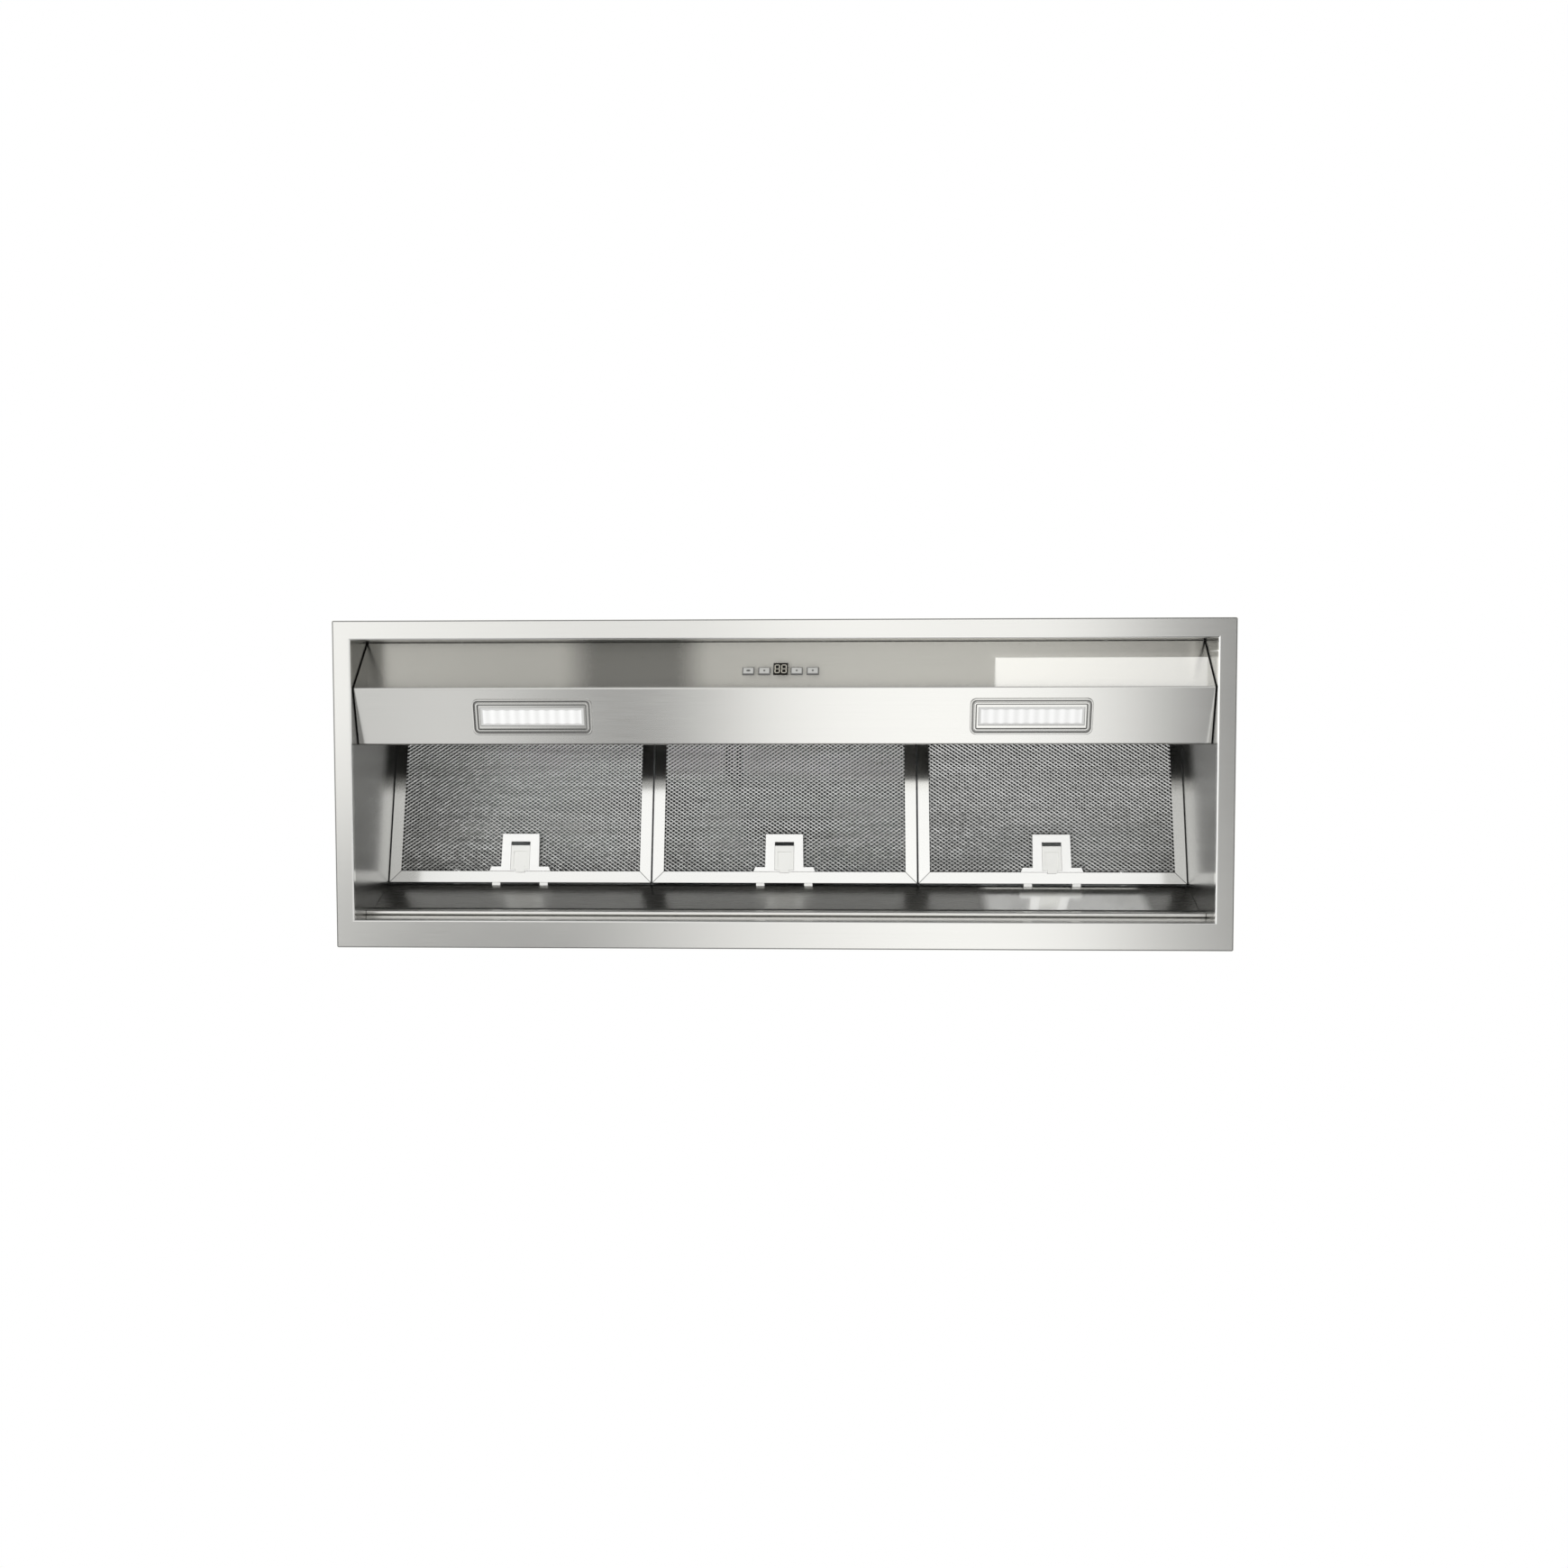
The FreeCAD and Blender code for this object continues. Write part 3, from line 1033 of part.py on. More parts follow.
def make_flap(side, sign):
    """Half-moon flap with two knuckles on the rod."""
    body = new_body("flap_" + side)
    radius = "(Sizes.collar_radius - Sizes.collar_wall - Sizes.flap_rim_gap)"
    inner_x = "%s(Sizes.rod_radius + Sizes.knuckle_wall + 1)" % sign
    outer_x = "%s(Sizes.collar_radius + 10)" % sign
    low = "(Sizes.stop_height + 2 + Sizes.flap_rise)"
    moon = new_sketch(body, "XY", z=low)
    circle(moon, radius)
    pad(body, moon, "Sizes.flap_gauge")
    keep = new_sketch(body, "XY", z=low)
    centred(keep, "400", "400")
    rectangle(keep, inner_x, outer_x, "-Sizes.collar_radius", "Sizes.collar_radius")
    pocket(body, keep, "8", "Symmetric")
    spots = (-50, 18) if side == "left" else (-18, 50)
    for spot in spots:
        level = "-1 * (%d)" % spot
        arm = new_sketch(body, "XZ", z=level)
        rectangle(arm, "%s0.1" % sign, "%s(Sizes.rod_radius + Sizes.knuckle_wall + 5)" % sign,
                  low, "%s + Sizes.flap_gauge + 1.6" % low)
        pad(body, arm, "Sizes.knuckle_length", "Symmetric")
        knuckle = new_sketch(body, "XZ", z=level)
        circle(knuckle, "Sizes.rod_radius + Sizes.knuckle_wall", "0", ROD_Z)
        pad(body, knuckle, "Sizes.knuckle_length", "Symmetric")
        bore = new_sketch(body, "XZ", z=level)
        circle(bore, "Sizes.rod_radius + Sizes.shaft_play", "0", ROD_Z)
        pocket(body, bore, "Sizes.knuckle_length", "Symmetric")
    collar_place(body)


# ---------------------------------------------------------------- terminal box and screws

BOX_MID_X = "(Sizes.box_left + Sizes.box_length / 2)"


def make_terminal_box():
    """Steel tray on the lid, with a hole for the mains cable's grommet."""
    body = new_body("terminal_box")
    base = new_sketch(body, "XY", z=LID_TOP)
    centred(base, "Sizes.box_length", "Sizes.box_depth", BOX_MID_X, "0")
    block = pad(body, base, "Sizes.box_height")
    soft = round_edges(body, block, "2", upright)
    hollow(body, soft, "Sizes.box_wall", facing(0, 0, 1))
    entry = new_sketch(body, "YZ", z="Sizes.box_left + Sizes.box_length")
    circle(entry, "Sizes.grommet_bore + Sizes.grommet_wall", "0", GROMMET_Z)
    pocket(body, entry, "6", "Symmetric")


GROMMET_Z = "(%s + Sizes.box_height / 2)" % LID_TOP


def make_box_lid():
    """Lid with a lip outside the tray."""
    body = new_body("box_lid")
    grow = "(2 * Sizes.box_wall + 0.4)"
    plate = new_sketch(body, "XY", z="%s + Sizes.box_height - Sizes.box_lid_deep" % LID_TOP)
    centred(plate, "(Sizes.box_length + %s)" % grow, "(Sizes.box_depth + %s)" % grow,
            BOX_MID_X, "0")
    block = pad(body, plate, "Sizes.box_lid_deep + Sizes.box_wall")
    soft = round_edges(body, block, "3", upright)
    hollow(body, soft, "Sizes.box_wall", facing(0, 0, -1))


def make_cable_grommet():
    """Rubber grommet with a flange on each side of the box's wall."""
    body = new_body("cable_grommet")
    side = new_sketch(body, "XY")
    wall = "Sizes.box_wall"
    bore, waist = "Sizes.grommet_bore", "(Sizes.grommet_bore + Sizes.grommet_wall)"
    rim = "(%s + Sizes.grommet_rim)" % waist
    half = "Sizes.grommet_length / 2"
    polygon(side, (("-" + half, bore), (half, bore), (half, rim + " - 1"),
                   (wall + " / 2 + 1", rim), (wall + " / 2", rim), (wall + " / 2", waist),
                   ("-%s / 2" % wall, waist), ("-%s / 2" % wall, rim),
                   ("-%s / 2 - 1" % wall, rim), ("-" + half, rim + " - 1")))
    turned = body.newObject("PartDesign::Revolution", "cable_grommet_turned")
    turned.Profile = side
    turned.ReferenceAxis = (side, ["H_Axis"])
    turned.Angle = 360
    place(body, "Sizes.box_left + Sizes.box_length - Sizes.box_wall / 2", "0", GROMMET_Z)


def make_terminal_block():
    """Moulded terminal strip with five wire ways."""
    body = new_body("terminal_block")
    floor = "(%s + Sizes.box_wall)" % LID_TOP
    base = new_sketch(body, "XY", z=floor)
    middle = "%s + Sizes.block_offset" % BOX_MID_X
    centred(base, "Sizes.block_width", "Sizes.block_length", middle, "0")
    pad(body, base, "Sizes.block_height")
    ways = new_sketch(body, "YZ", z=middle)
    for step in (-2, -1, 0, 1, 2):
        circle(ways, "Sizes.block_bore", "%d * Sizes.block_pitch" % step,
               "%s + Sizes.block_height / 2" % floor)
    pocket(body, ways, "2 * Sizes.block_width", "Symmetric")


def make_capacitor():
    """Motor run capacitor lying on the tray's floor."""
    body = new_body("capacitor")
    disc = new_sketch(body, "YZ", z="Sizes.box_left + Sizes.can_radius")
    circle(disc, "Sizes.can_radius", "Sizes.can_offset",
           "%s + Sizes.box_wall + Sizes.can_radius + 0.2" % LID_TOP)
    can = pad(body, disc, "Sizes.can_length")
    round_edges(body, can, "1.5", lambda edge: True)


def make_led_driver():
    """Sealed lamp driver on the tray's floor."""
    body = new_body("led_driver")
    base = new_sketch(body, "XY", z="%s + Sizes.box_wall" % LID_TOP)
    centred(base, "Sizes.driver_length", "Sizes.driver_width",
            "Sizes.box_left + Sizes.driver_length / 2 + 11", "-Sizes.driver_offset")
    block = pad(body, base, "Sizes.driver_height")
    round_edges(body, block, "2", upright)


def screw_shape(length):
    """Pan-head screw along +Z, its head's seat at zero and its shank below."""
    head = measure("Sizes.screw_head")
    thick = measure("Sizes.screw_head_thick")
    shank = measure("Sizes.screw_radius")
    ball = (head ** 2 + thick ** 2) / (2 * thick)
    flank = math.asin(head / ball) / 2
    dome = Part.Arc(Vector(head, 0, 0),
                    Vector(ball * math.sin(flank), 0, thick - ball * (1 - math.cos(flank))),
                    Vector(0, 0, thick))
    spots = (Vector(0, 0, thick), Vector(0, 0, -length), Vector(shank, 0, -length),
             Vector(shank, 0, 0), Vector(head, 0, 0))
    edges = [Part.makeLine(one, two) for one, two in zip(spots, spots[1:])]
    wire = Part.Wire([dome.toShape()] + edges)
    return Part.Face(wire).revolve(Vector(), Vector(0, 0, 1), 360)


def make_screws(name, length, places):
    """One group of like screws, each a solid of its own."""
    group = []
    for spot, turn in places:
        screw = screw_shape(length)
        screw.Placement = Placement(spot, turn)
        group.append(screw)
    new_shape(name, Part.makeCompound(group))


def make_all_screws():
    """Screws of the visor, the blower casing and the duct collar."""
    upright_turn = Rotation()
    into_front = Rotation(Vector(1, 0, 0), -90)
    gauge = measure("Sizes.steel")
    lid = measure(LID_TOP) + gauge
    make_screws("casing_screws", 3 * gauge,
                [(Vector(measure(x), measure(y), lid), upright_turn)
                 for x, y in lid_screw_places()])
    deck = measure(CASING_TOP + " + Sizes.collar_plate_thick")
    centre = measure(OUTLET_Y)
    make_screws("collar_screws", measure("Sizes.collar_plate_thick"),
                [(Vector(measure(x), centre + measure(y), deck), upright_turn)
                 for x, y in collar_screw_places()])
    face = measure(VISOR_FRONT + " + Sizes.visor_gauge")
    make_screws("visor_screws", measure("Sizes.visor_gauge + Sizes.seat_gap"),
                [(Vector(measure(x), face, measure(SCREW_Z)), into_front)
                 for x in screw_places()])


def build():
    """Make every sub-part."""
    make_canopy_shell()
    make_visor()
    make_rear_slope()
    make_grease_gutter()
    make_filter_rail()
    make_top_panel()
    for side, number in (("left", -1), ("centre", 0), ("right", 1)):
        make_filter_frame(side, number)
        make_filter_mesh(side, number)
        make_latch_base(side, number)
        make_latch_slide(side, number)
    for side, sign in (("left", "-"), ("right", "")):
        make_lamp_bezel(side, sign)
        make_lamp_lens(side, sign)
        make_led_board(side, sign)
        make_lamp_can(side, sign)
        make_flap(side, sign)
    for number, x in enumerate(button_places(), start=1):
        make_push_button(number, x)
    make_display_window()
    make_control_board()
    make_control_box()
    make_motor_casing()
    make_fan_scroll()
    make_inlet_rings()
    make_fan_wheel()
    make_fan_shaft()
    make_fan_motor()
    make_motor_bracket()
    make_duct_collar()
    make_flap_rod()
    make_terminal_box()
    make_box_lid()
    make_cable_grommet()
    make_terminal_block()
    make_capacitor()
    make_led_driver()
    make_all_screws()


def check_and_write():
    """Stop on any failed object, then write one file for each sub-part."""
    doc.recompute()
    for item in doc.Objects:
        if "Invalid" in item.State or "Error" in item.State:
            raise ValueError("%s failed: %s" % (item.Label, item.State))
    for piece in PIECES:
        if piece.Shape.isNull() or not piece.Shape.isValid() or not piece.Shape.Solids:
            raise ValueError("%s has no valid shape" % piece.Label)
    os.makedirs("parts", exist_ok=True)
    for piece in PIECES:
        piece.Shape.exportStep(os.path.join("parts", piece.Label + ".step"))
        print("%-22s %2d solids %10.0f mm3" % (piece.Label, len(piece.Shape.Solids),
                                               piece.Shape.Volume))


build()
check_and_write()
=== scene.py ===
"""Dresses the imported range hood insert: finishes for every sheet and moulding, woven filter packs,
lamps, keys and display, fixings, and the stage it is seen on. Metres throughout."""

import json
import math

import bmesh
import bpy
from mathutils import Matrix, Vector
from mathutils.noise import noise_vector, seed_set


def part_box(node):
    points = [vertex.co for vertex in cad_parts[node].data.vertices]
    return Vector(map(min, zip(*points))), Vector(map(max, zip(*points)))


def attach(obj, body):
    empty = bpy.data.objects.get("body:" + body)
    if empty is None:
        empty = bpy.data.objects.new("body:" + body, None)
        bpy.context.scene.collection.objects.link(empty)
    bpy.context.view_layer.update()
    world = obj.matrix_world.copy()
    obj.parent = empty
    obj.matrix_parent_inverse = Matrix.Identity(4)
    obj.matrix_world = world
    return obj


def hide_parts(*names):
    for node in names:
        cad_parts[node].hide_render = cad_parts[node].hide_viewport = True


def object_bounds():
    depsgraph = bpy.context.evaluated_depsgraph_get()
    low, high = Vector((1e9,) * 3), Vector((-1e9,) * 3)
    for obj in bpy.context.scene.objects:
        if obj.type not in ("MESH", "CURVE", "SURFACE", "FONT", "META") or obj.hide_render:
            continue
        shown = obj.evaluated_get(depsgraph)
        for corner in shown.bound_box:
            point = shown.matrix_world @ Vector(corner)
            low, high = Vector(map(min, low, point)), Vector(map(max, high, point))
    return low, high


bl_info = {
    "name": "Range hood insert",
    "version": (1, 0, 0),
    "blender": (4, 5, 0),
    "location": "3D View > Sidebar > Hood",
    "description": "Finishes and fine pieces of an under-cabinet range hood insert",
    "category": "Object",
}

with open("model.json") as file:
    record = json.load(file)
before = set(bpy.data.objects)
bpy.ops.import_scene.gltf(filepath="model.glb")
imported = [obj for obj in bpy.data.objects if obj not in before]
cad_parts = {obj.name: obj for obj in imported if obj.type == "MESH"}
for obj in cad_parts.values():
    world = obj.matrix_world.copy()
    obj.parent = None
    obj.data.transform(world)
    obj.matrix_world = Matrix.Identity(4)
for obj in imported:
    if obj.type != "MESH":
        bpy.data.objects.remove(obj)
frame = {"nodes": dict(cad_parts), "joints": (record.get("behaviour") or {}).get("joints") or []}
NODES = frame["nodes"]
CAD_BOX = [list(corner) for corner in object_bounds()]
JOINTS = {joint["name"]: joint for joint in frame["joints"]}
SIDES = ("left", "centre", "right")
WANDER_SEED = 4        # the strands stray from their weave in the same way each run
# the light colour mixed into steel as a painted highlight, and the black of the frames' mitre seams
PAINTED_HIGHLIGHT, SEAM_BLACK = (0.93, 0.93, 0.92), (0.10, 0.10, 0.095)


def centre_of(node):
    """How far right the middle of a CAD node is."""
    low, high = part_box(node)
    return (low[0] + high[0]) / 2


KEY_PLACES = {number: centre_of("push_button_%d" % number) for number in (1, 2, 3, 4)}
LAMP_PLACES = {side: centre_of("lamp_bezel_" + side) for side in ("left", "right")}

# The visor's rounded ridge, how steeply its two faces and the filters stand, and where the middle
# lines of keys and lamps run, from the ridge along their own face
RIDGE_Y, RIDGE_Z = -0.097, 0.006
CONTROL_TILT, LAMP_TILT, FILTER_TILT = (math.radians(angle) for angle in (44.4, 13.8, 13.5))
KEY_LINE, LAMP_LINE = -0.0237, 0.0295


# ---------------------------------------------------------------- shader values

class Value:
    """A number that varies over a surface, written in formulas like a plain one."""

    def __init__(self, tree, socket):
        self.tree, self.socket = tree, socket

    def math(self, operation, *others, swap=False):
        """What a Math node makes of this value and others, or of them the other way round."""
        node = self.tree.nodes.new("ShaderNodeMath")
        node.operation = operation
        terms = [self, *others]
        if swap:
            terms.reverse()
        for slot, term in zip(node.inputs, terms):
            feed(self.tree, slot, term)
        return Value(self.tree, node.outputs[0])

    def __add__(self, other):
        return self.math("ADD", other)

    def __sub__(self, other):
        return self.math("SUBTRACT", other)

    def __rsub__(self, other):
        return self.math("SUBTRACT", other, swap=True)

    def __mul__(self, other):
        return self.math("MULTIPLY", other)

    def __truediv__(self, other):
        return self.math("DIVIDE", other)

    def __pow__(self, other):
        return self.math("POWER", other)

    def __abs__(self):
        return self.math("ABSOLUTE")

    def __neg__(self):
        return self * -1

    __radd__, __rmul__ = __add__, __mul__

    def over(self, edge, soft):
        """0 below edge and 1 above it, turning smoothly over the width soft."""
        node = self.tree.nodes.new("ShaderNodeMapRange")
        node.interpolation_type = "SMOOTHSTEP"
        feed(self.tree, node.inputs["Value"], self)
        node.inputs["From Min"].default_value = edge - soft / 2
        node.inputs["From Max"].default_value = edge + soft / 2
        return Value(self.tree, node.outputs["Result"])

    def within(self, low, high, soft):
        """1 between low and high and 0 outside, with soft ends."""
        return self.over(low, soft) * (1 - self.over(high, soft))

    def wave(self, period, phase=0.0):
        """A sine from 0 to 1 with that period."""
        return (self * (2 * math.pi / period) + phase).math("SINE") * 0.5 + 0.5

    def least(self, other):
        """The smaller of two values."""
        return self.math("MINIMUM", other)

    def most(self, other):
        """The greater of two values."""
        return self.math("MAXIMUM", other)


def feed(tree, socket, term):
    """Link a varying value or a socket, or set a plain one."""
    if isinstance(term, Value):
        term = term.socket
    if isinstance(term, bpy.types.NodeSocket):
        tree.links.new(term, socket)
    elif hasattr(term, "__len__") and len(term) == 3 and len(socket.default_value) == 4:
        socket.default_value = (*term, 1.0)
    else:
        socket.default_value = term


def tinted(colour, factor):
    """A colour made darker or lighter, at most white."""
    return tuple(min(1, part * factor) for part in colour)


class Nodes:
    """The node tree of one material or of the world."""

    def __init__(self, tree):
        self.tree = tree

    def add(self, kind, settings=None, out=0, **inputs):
        """One node of that type, as the output out: a name or a number. Its settings go in first,
        then its inputs, by name or as i0, i1 and so on."""
        node = self.tree.nodes.new("ShaderNode" + kind)
        for name, setting in (settings or {}).items():
            if name == "stops":
                ramp = node.color_ramp.elements
                while len(ramp) < len(setting):
                    ramp.new(0.5)
                for stop, (at, colour) in zip(ramp, setting):
                    stop.position, stop.color = at, (*colour, 1.0)
            else:
                setattr(node, name, setting)
        for name, term in inputs.items():
            key = int(name[1:]) if name[0] == "i" and name[1:].isdigit() else name.replace("_", " ")
            feed(self.tree, node.inputs[key], term)
        return Value(self.tree, node.outputs[out])

    def split(self, vector):
        """The three parts of a vector or colour."""
        node = self.tree.nodes.new("ShaderNodeSeparateXYZ")
        feed(self.tree, node.inputs[0], vector)
        return [Value(self.tree, socket) for socket in node.outputs]

    def join(self, x, y, z):
        """A vector of three parts."""
        return self.add("CombineXYZ", i0=x, i1=y, i2=z)

    def mix(self, share, first, second):
        """A colour between two colours. A mix node has its colours at 6 and 7, its result at 2."""
        return self.add("Mix", {"data_type": "RGBA"}, out=2, i0=share, i6=first, i7=second)

    def noise(self, x, y, z, detail=2.0, rough=0.5):
        """Noise over a point already scaled to features about one unit wide."""
        return self.add("TexNoise", Vector=self.join(x, y, z), Scale=1.0, Detail=detail,
                        Roughness=rough)

    def cells(self, x, y, z):
        """A colour of its own for each cell about one unit wide."""
        return self.add("TexVoronoi", out="Color", Vector=self.join(x, y, z), Scale=1.0)


class Finish(Nodes):
    """One material: constants sit on the shader's own sockets, what varies is linked to it. Its
    point is the place on the piece, as three parts in metres."""

    made = {}

    def __init__(self, name, **constants):
        self.material = bpy.data.materials.new(name)
        self.material.use_nodes = True
        super().__init__(self.material.node_tree)
        self.shader = self.tree.nodes["Principled BSDF"]
        self.point = self.split(self.add("TexCoord", out="Object"))
        Finish.made[name] = self.material
        self.set(**constants)

    def set(self, **inputs):
        """Set or link the shader's inputs by name."""
        for name, term in inputs.items():
            feed(self.tree, self.shader.inputs[name.replace("_", " ")], term)
        return self

    def shaded(self, share, colour, low, high):
        """A colour that goes from low to high times its brightness."""
        return self.mix(share, tinted(colour, low), tinted(colour, high))

    def grit(self, count, detail=2.0, rough=0.5):
        """Noise that is alike all ways, with about that many marks per metre."""
        return self.noise(*(part * count for part in self.point), detail=detail, rough=rough)

    def dots(self, along, pitch, across, radius, soft=0.0004):
        """Round spots in a row: one each pitch along a line, where across is nought."""
        step = ((along / pitch).math("FRACT") - 0.5) * pitch
        return 1 - ((step ** 2 + across ** 2) ** 0.5).over(radius, soft)

    def outward(self):
        """The way the surface faces, as its three parts."""
        return self.split(self.add("NewGeometry", out="Normal"))

    def facing_to(self, axis):
        """1 on faces square to an axis, both ways."""
        return abs(self.outward()["XYZ".index(axis)]).over(0.5, 0.2)

    def bump(self, height, distance, strength=1.0):
        """Relief from a height of 0 to 1 that stands that far proud."""
        self.set(Normal=self.add("Bump", Height=height, Distance=distance, Strength=strength))
        return self


def coat(finish, *names):
    """Give CAD nodes or new pieces this finish."""
    for name in names:
        piece = NODES.get(name) or bpy.data.objects[name]
        piece.data.materials.clear()
        piece.data.materials.append(Finish.made[finish])


# ---------------------------------------------------------------- modelling by hand, in code

def clear_selection():
    """Leave edit mode, with nothing selected."""
    if bpy.context.object and bpy.context.object.mode != "OBJECT":
        bpy.ops.object.mode_set(mode="OBJECT")
    bpy.ops.object.select_all(action="DESELECT")


def settle(name):
    """Name the new primitive and bake its place into its mesh."""
    piece = bpy.context.object
    piece.name = piece.data.name = name
    bpy.ops.object.transform_apply(location=True, rotation=True, scale=True)
    return piece


def block(name, centre, size):
    """A box of that size, as a start."""
    clear_selection()
    bpy.ops.mesh.primitive_cube_add(size=1, location=centre, scale=size)
    return settle(name)


def rod(name, centre, radius, length, sides):
    """An upright round bar, as a start."""
    clear_selection()
    bpy.ops.mesh.primitive_cylinder_add(vertices=sides, radius=radius, depth=length,
                                        location=centre)
    return settle(name)


def hold(piece):
    """Select one piece alone, for the next operator."""
    clear_selection()
    bpy.context.view_layer.objects.active = piece
    piece.select_set(True)


def edit(piece, kind="FACE"):
    """Open a piece for edit operators with nothing selected."""
    hold(piece)
    bpy.ops.object.mode_set(mode="EDIT")
    bpy.ops.mesh.select_mode(type=kind)
    bpy.ops.mesh.select_all(action="DESELECT")
    return bmesh.from_edit_mesh(piece.data)


def pick(piece, test, kind="FACE"):
    """Select the faces, edges or corners that pass a test."""
    mesh = edit(piece, kind)
    items = {"FACE": mesh.faces, "EDGE": mesh.edges, "VERT": mesh.verts}[kind]
    for item in items:
        item.select_set(bool(test(item)))
    mesh.select_flush_mode()
    bmesh.update_edit_mesh(piece.data)


def close_edit():
    """Write what was edited back to the piece."""
    bpy.ops.object.mode_set(mode="OBJECT")


def soften(piece, width):
    """Round all the sharp edges."""
    hold(piece)
    rounding = piece.modifiers.new("rounding", "BEVEL")
    rounding.width, rounding.segments = width, 3
    rounding.limit_method, rounding.angle_limit = "ANGLE", math.radians(30)
    bpy.ops.object.modifier_apply(modifier=rounding.name)
    bpy.ops.object.shade_smooth_by_angle(angle=math.radians(40))


def cut_with(piece, tool):
    """Take the tool's shape out of a piece; the tool goes."""
    hold(piece)
    cut = piece.modifiers.new("cut", "BOOLEAN")
    cut.operation, cut.solver, cut.object = "DIFFERENCE", "EXACT", tool
    bpy.ops.object.modifier_apply(modifier=cut.name)
    bpy.data.objects.remove(tool)


def repeat(piece, count, step):
    """Copies in a row, made one mesh."""
    hold(piece)
    row = piece.modifiers.new("row", "ARRAY")
    row.count, row.use_relative_offset, row.use_constant_offset = count, False, True
    row.constant_offset_displace = step
    bpy.ops.object.modifier_apply(modifier=row.name)


def twin(piece, name):
    """A copy of a piece, with a mesh of its own."""
    copy = piece.copy()
    copy.data = piece.data.copy()
    copy.name = copy.data.name = name
    bpy.context.scene.collection.objects.link(copy)
    return copy


def copy_to(piece, name, matrices):
    """One mesh with a copy of a piece at each place; the first piece goes."""
    copies = []
    for matrix in matrices:
        copy = twin(piece, name)
        copy.data.transform(matrix)
        copies.append(copy)
    bpy.data.objects.remove(piece)
    return merge(name, copies)


def merge(name, pieces):
    """Make several pieces one."""
    clear_selection()
    for piece in pieces:
        piece.select_set(True)
    bpy.context.view_layer.objects.active = pieces[0]
    bpy.ops.object.join()
    pieces[0].name = pieces[0].data.name = name
    return pieces[0]


def carry(piece, body, finish, slot, *nodes):
    """Give a piece its finish, its body and the nodes it stands for."""
    coat(finish, piece.name)
    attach(piece, body)
    if nodes:
        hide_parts(*nodes)
    return piece


def filter_frame(side):
    """The tilted frame of one filter: origin on its bead, +Y down its slope, +Z upwards."""
    at = Vector(JOINTS["filter_%s_hinge" % side]["pos_m"])
    return Matrix.Translation(at) @ Matrix.Rotation(-FILTER_TILT, 4, "X")


def control_frame():
    """The frame of the control face: origin on the visor's ridge, +Z into the visor."""
    return Matrix.Translation((0, RIDGE_Y, RIDGE_Z)) @ Matrix.Rotation(-CONTROL_TILT, 4, "X")


# ---------------------------------------------------------------- what a user may change

class HoodStage(bpy.types.PropertyGroup):
    """The room the hood is seen in."""
    floor_span: bpy.props.FloatProperty(name="Floor span", unit="LENGTH", default=60.0, min=2.0,
                                        description="Width of the pale floor")
    floor_gap: bpy.props.FloatProperty(name="Gap at the flange", unit="LENGTH", default=0.0012,
                                       description="Room between the flange and the floor")
    light_level: bpy.props.FloatProperty(name="Light level", default=0.80, min=0.0,
                                         description="Brightness of the studio's even light")
    fill_power: bpy.props.FloatProperty(name="Fill light", unit="POWER", default=50.0, min=0.0,
                                        description="Power of the soft light from below")
    key_power: bpy.props.FloatProperty(name="Key light", unit="POWER", default=42.0, min=0.0,
                                       description="Power of the soft light above the front left")
    floor_colour: bpy.props.FloatVectorProperty(name="Floor", subtype="COLOR", size=3,
                                                default=(0.82, 0.82, 0.81),
                                                description="Colour of the floor")


class HoodMesh(bpy.types.PropertyGroup):
    """The expanded aluminium of the filters."""
    cell_long: bpy.props.FloatProperty(name="Cell, long way", unit="LENGTH", default=0.0060,
                                       description="Length of one opening across the hood")
    cell_short: bpy.props.FloatProperty(name="Cell, short way", unit="LENGTH", default=0.0041,
                                        description="Length of one opening down the filter")
    strand: bpy.props.FloatProperty(name="Strand", unit="LENGTH", default=0.00092,
                                    description="Width of the metal between openings")
    gauge: bpy.props.FloatProperty(name="Gauge", unit="LENGTH", default=0.0003,
                                   description="Thickness of the metal")
    lean: bpy.props.FloatProperty(name="Lean", unit="LENGTH", default=0.0007,
                                  description="How far each strand is turned up on edge")
    wander: bpy.props.FloatProperty(name="Wander", unit="LENGTH", default=0.00016,
                                    description="How far the strands stray from a regular weave")


class HoodColours(bpy.types.PropertyGroup):
    """Colours of the main finishes."""
    steel: bpy.props.FloatVectorProperty(name="Steel", subtype="COLOR", size=3,
                                         default=(0.785, 0.78, 0.76),
                                         description="Brushed stainless steel")
    aluminium: bpy.props.FloatVectorProperty(name="Aluminium", subtype="COLOR", size=3,
                                             default=(0.90, 0.90, 0.885),
                                             description="Filter frames and mesh")
    nylon: bpy.props.FloatVectorProperty(name="Nylon", subtype="COLOR", size=3,
                                         default=(0.92, 0.92, 0.905),
                                         description="White latches")
    zinc: bpy.props.FloatVectorProperty(name="Zinc", subtype="COLOR", size=3,
                                        default=(0.60, 0.62, 0.63),
                                        description="Galvanised sheet")


# ---------------------------------------------------------------- finishes

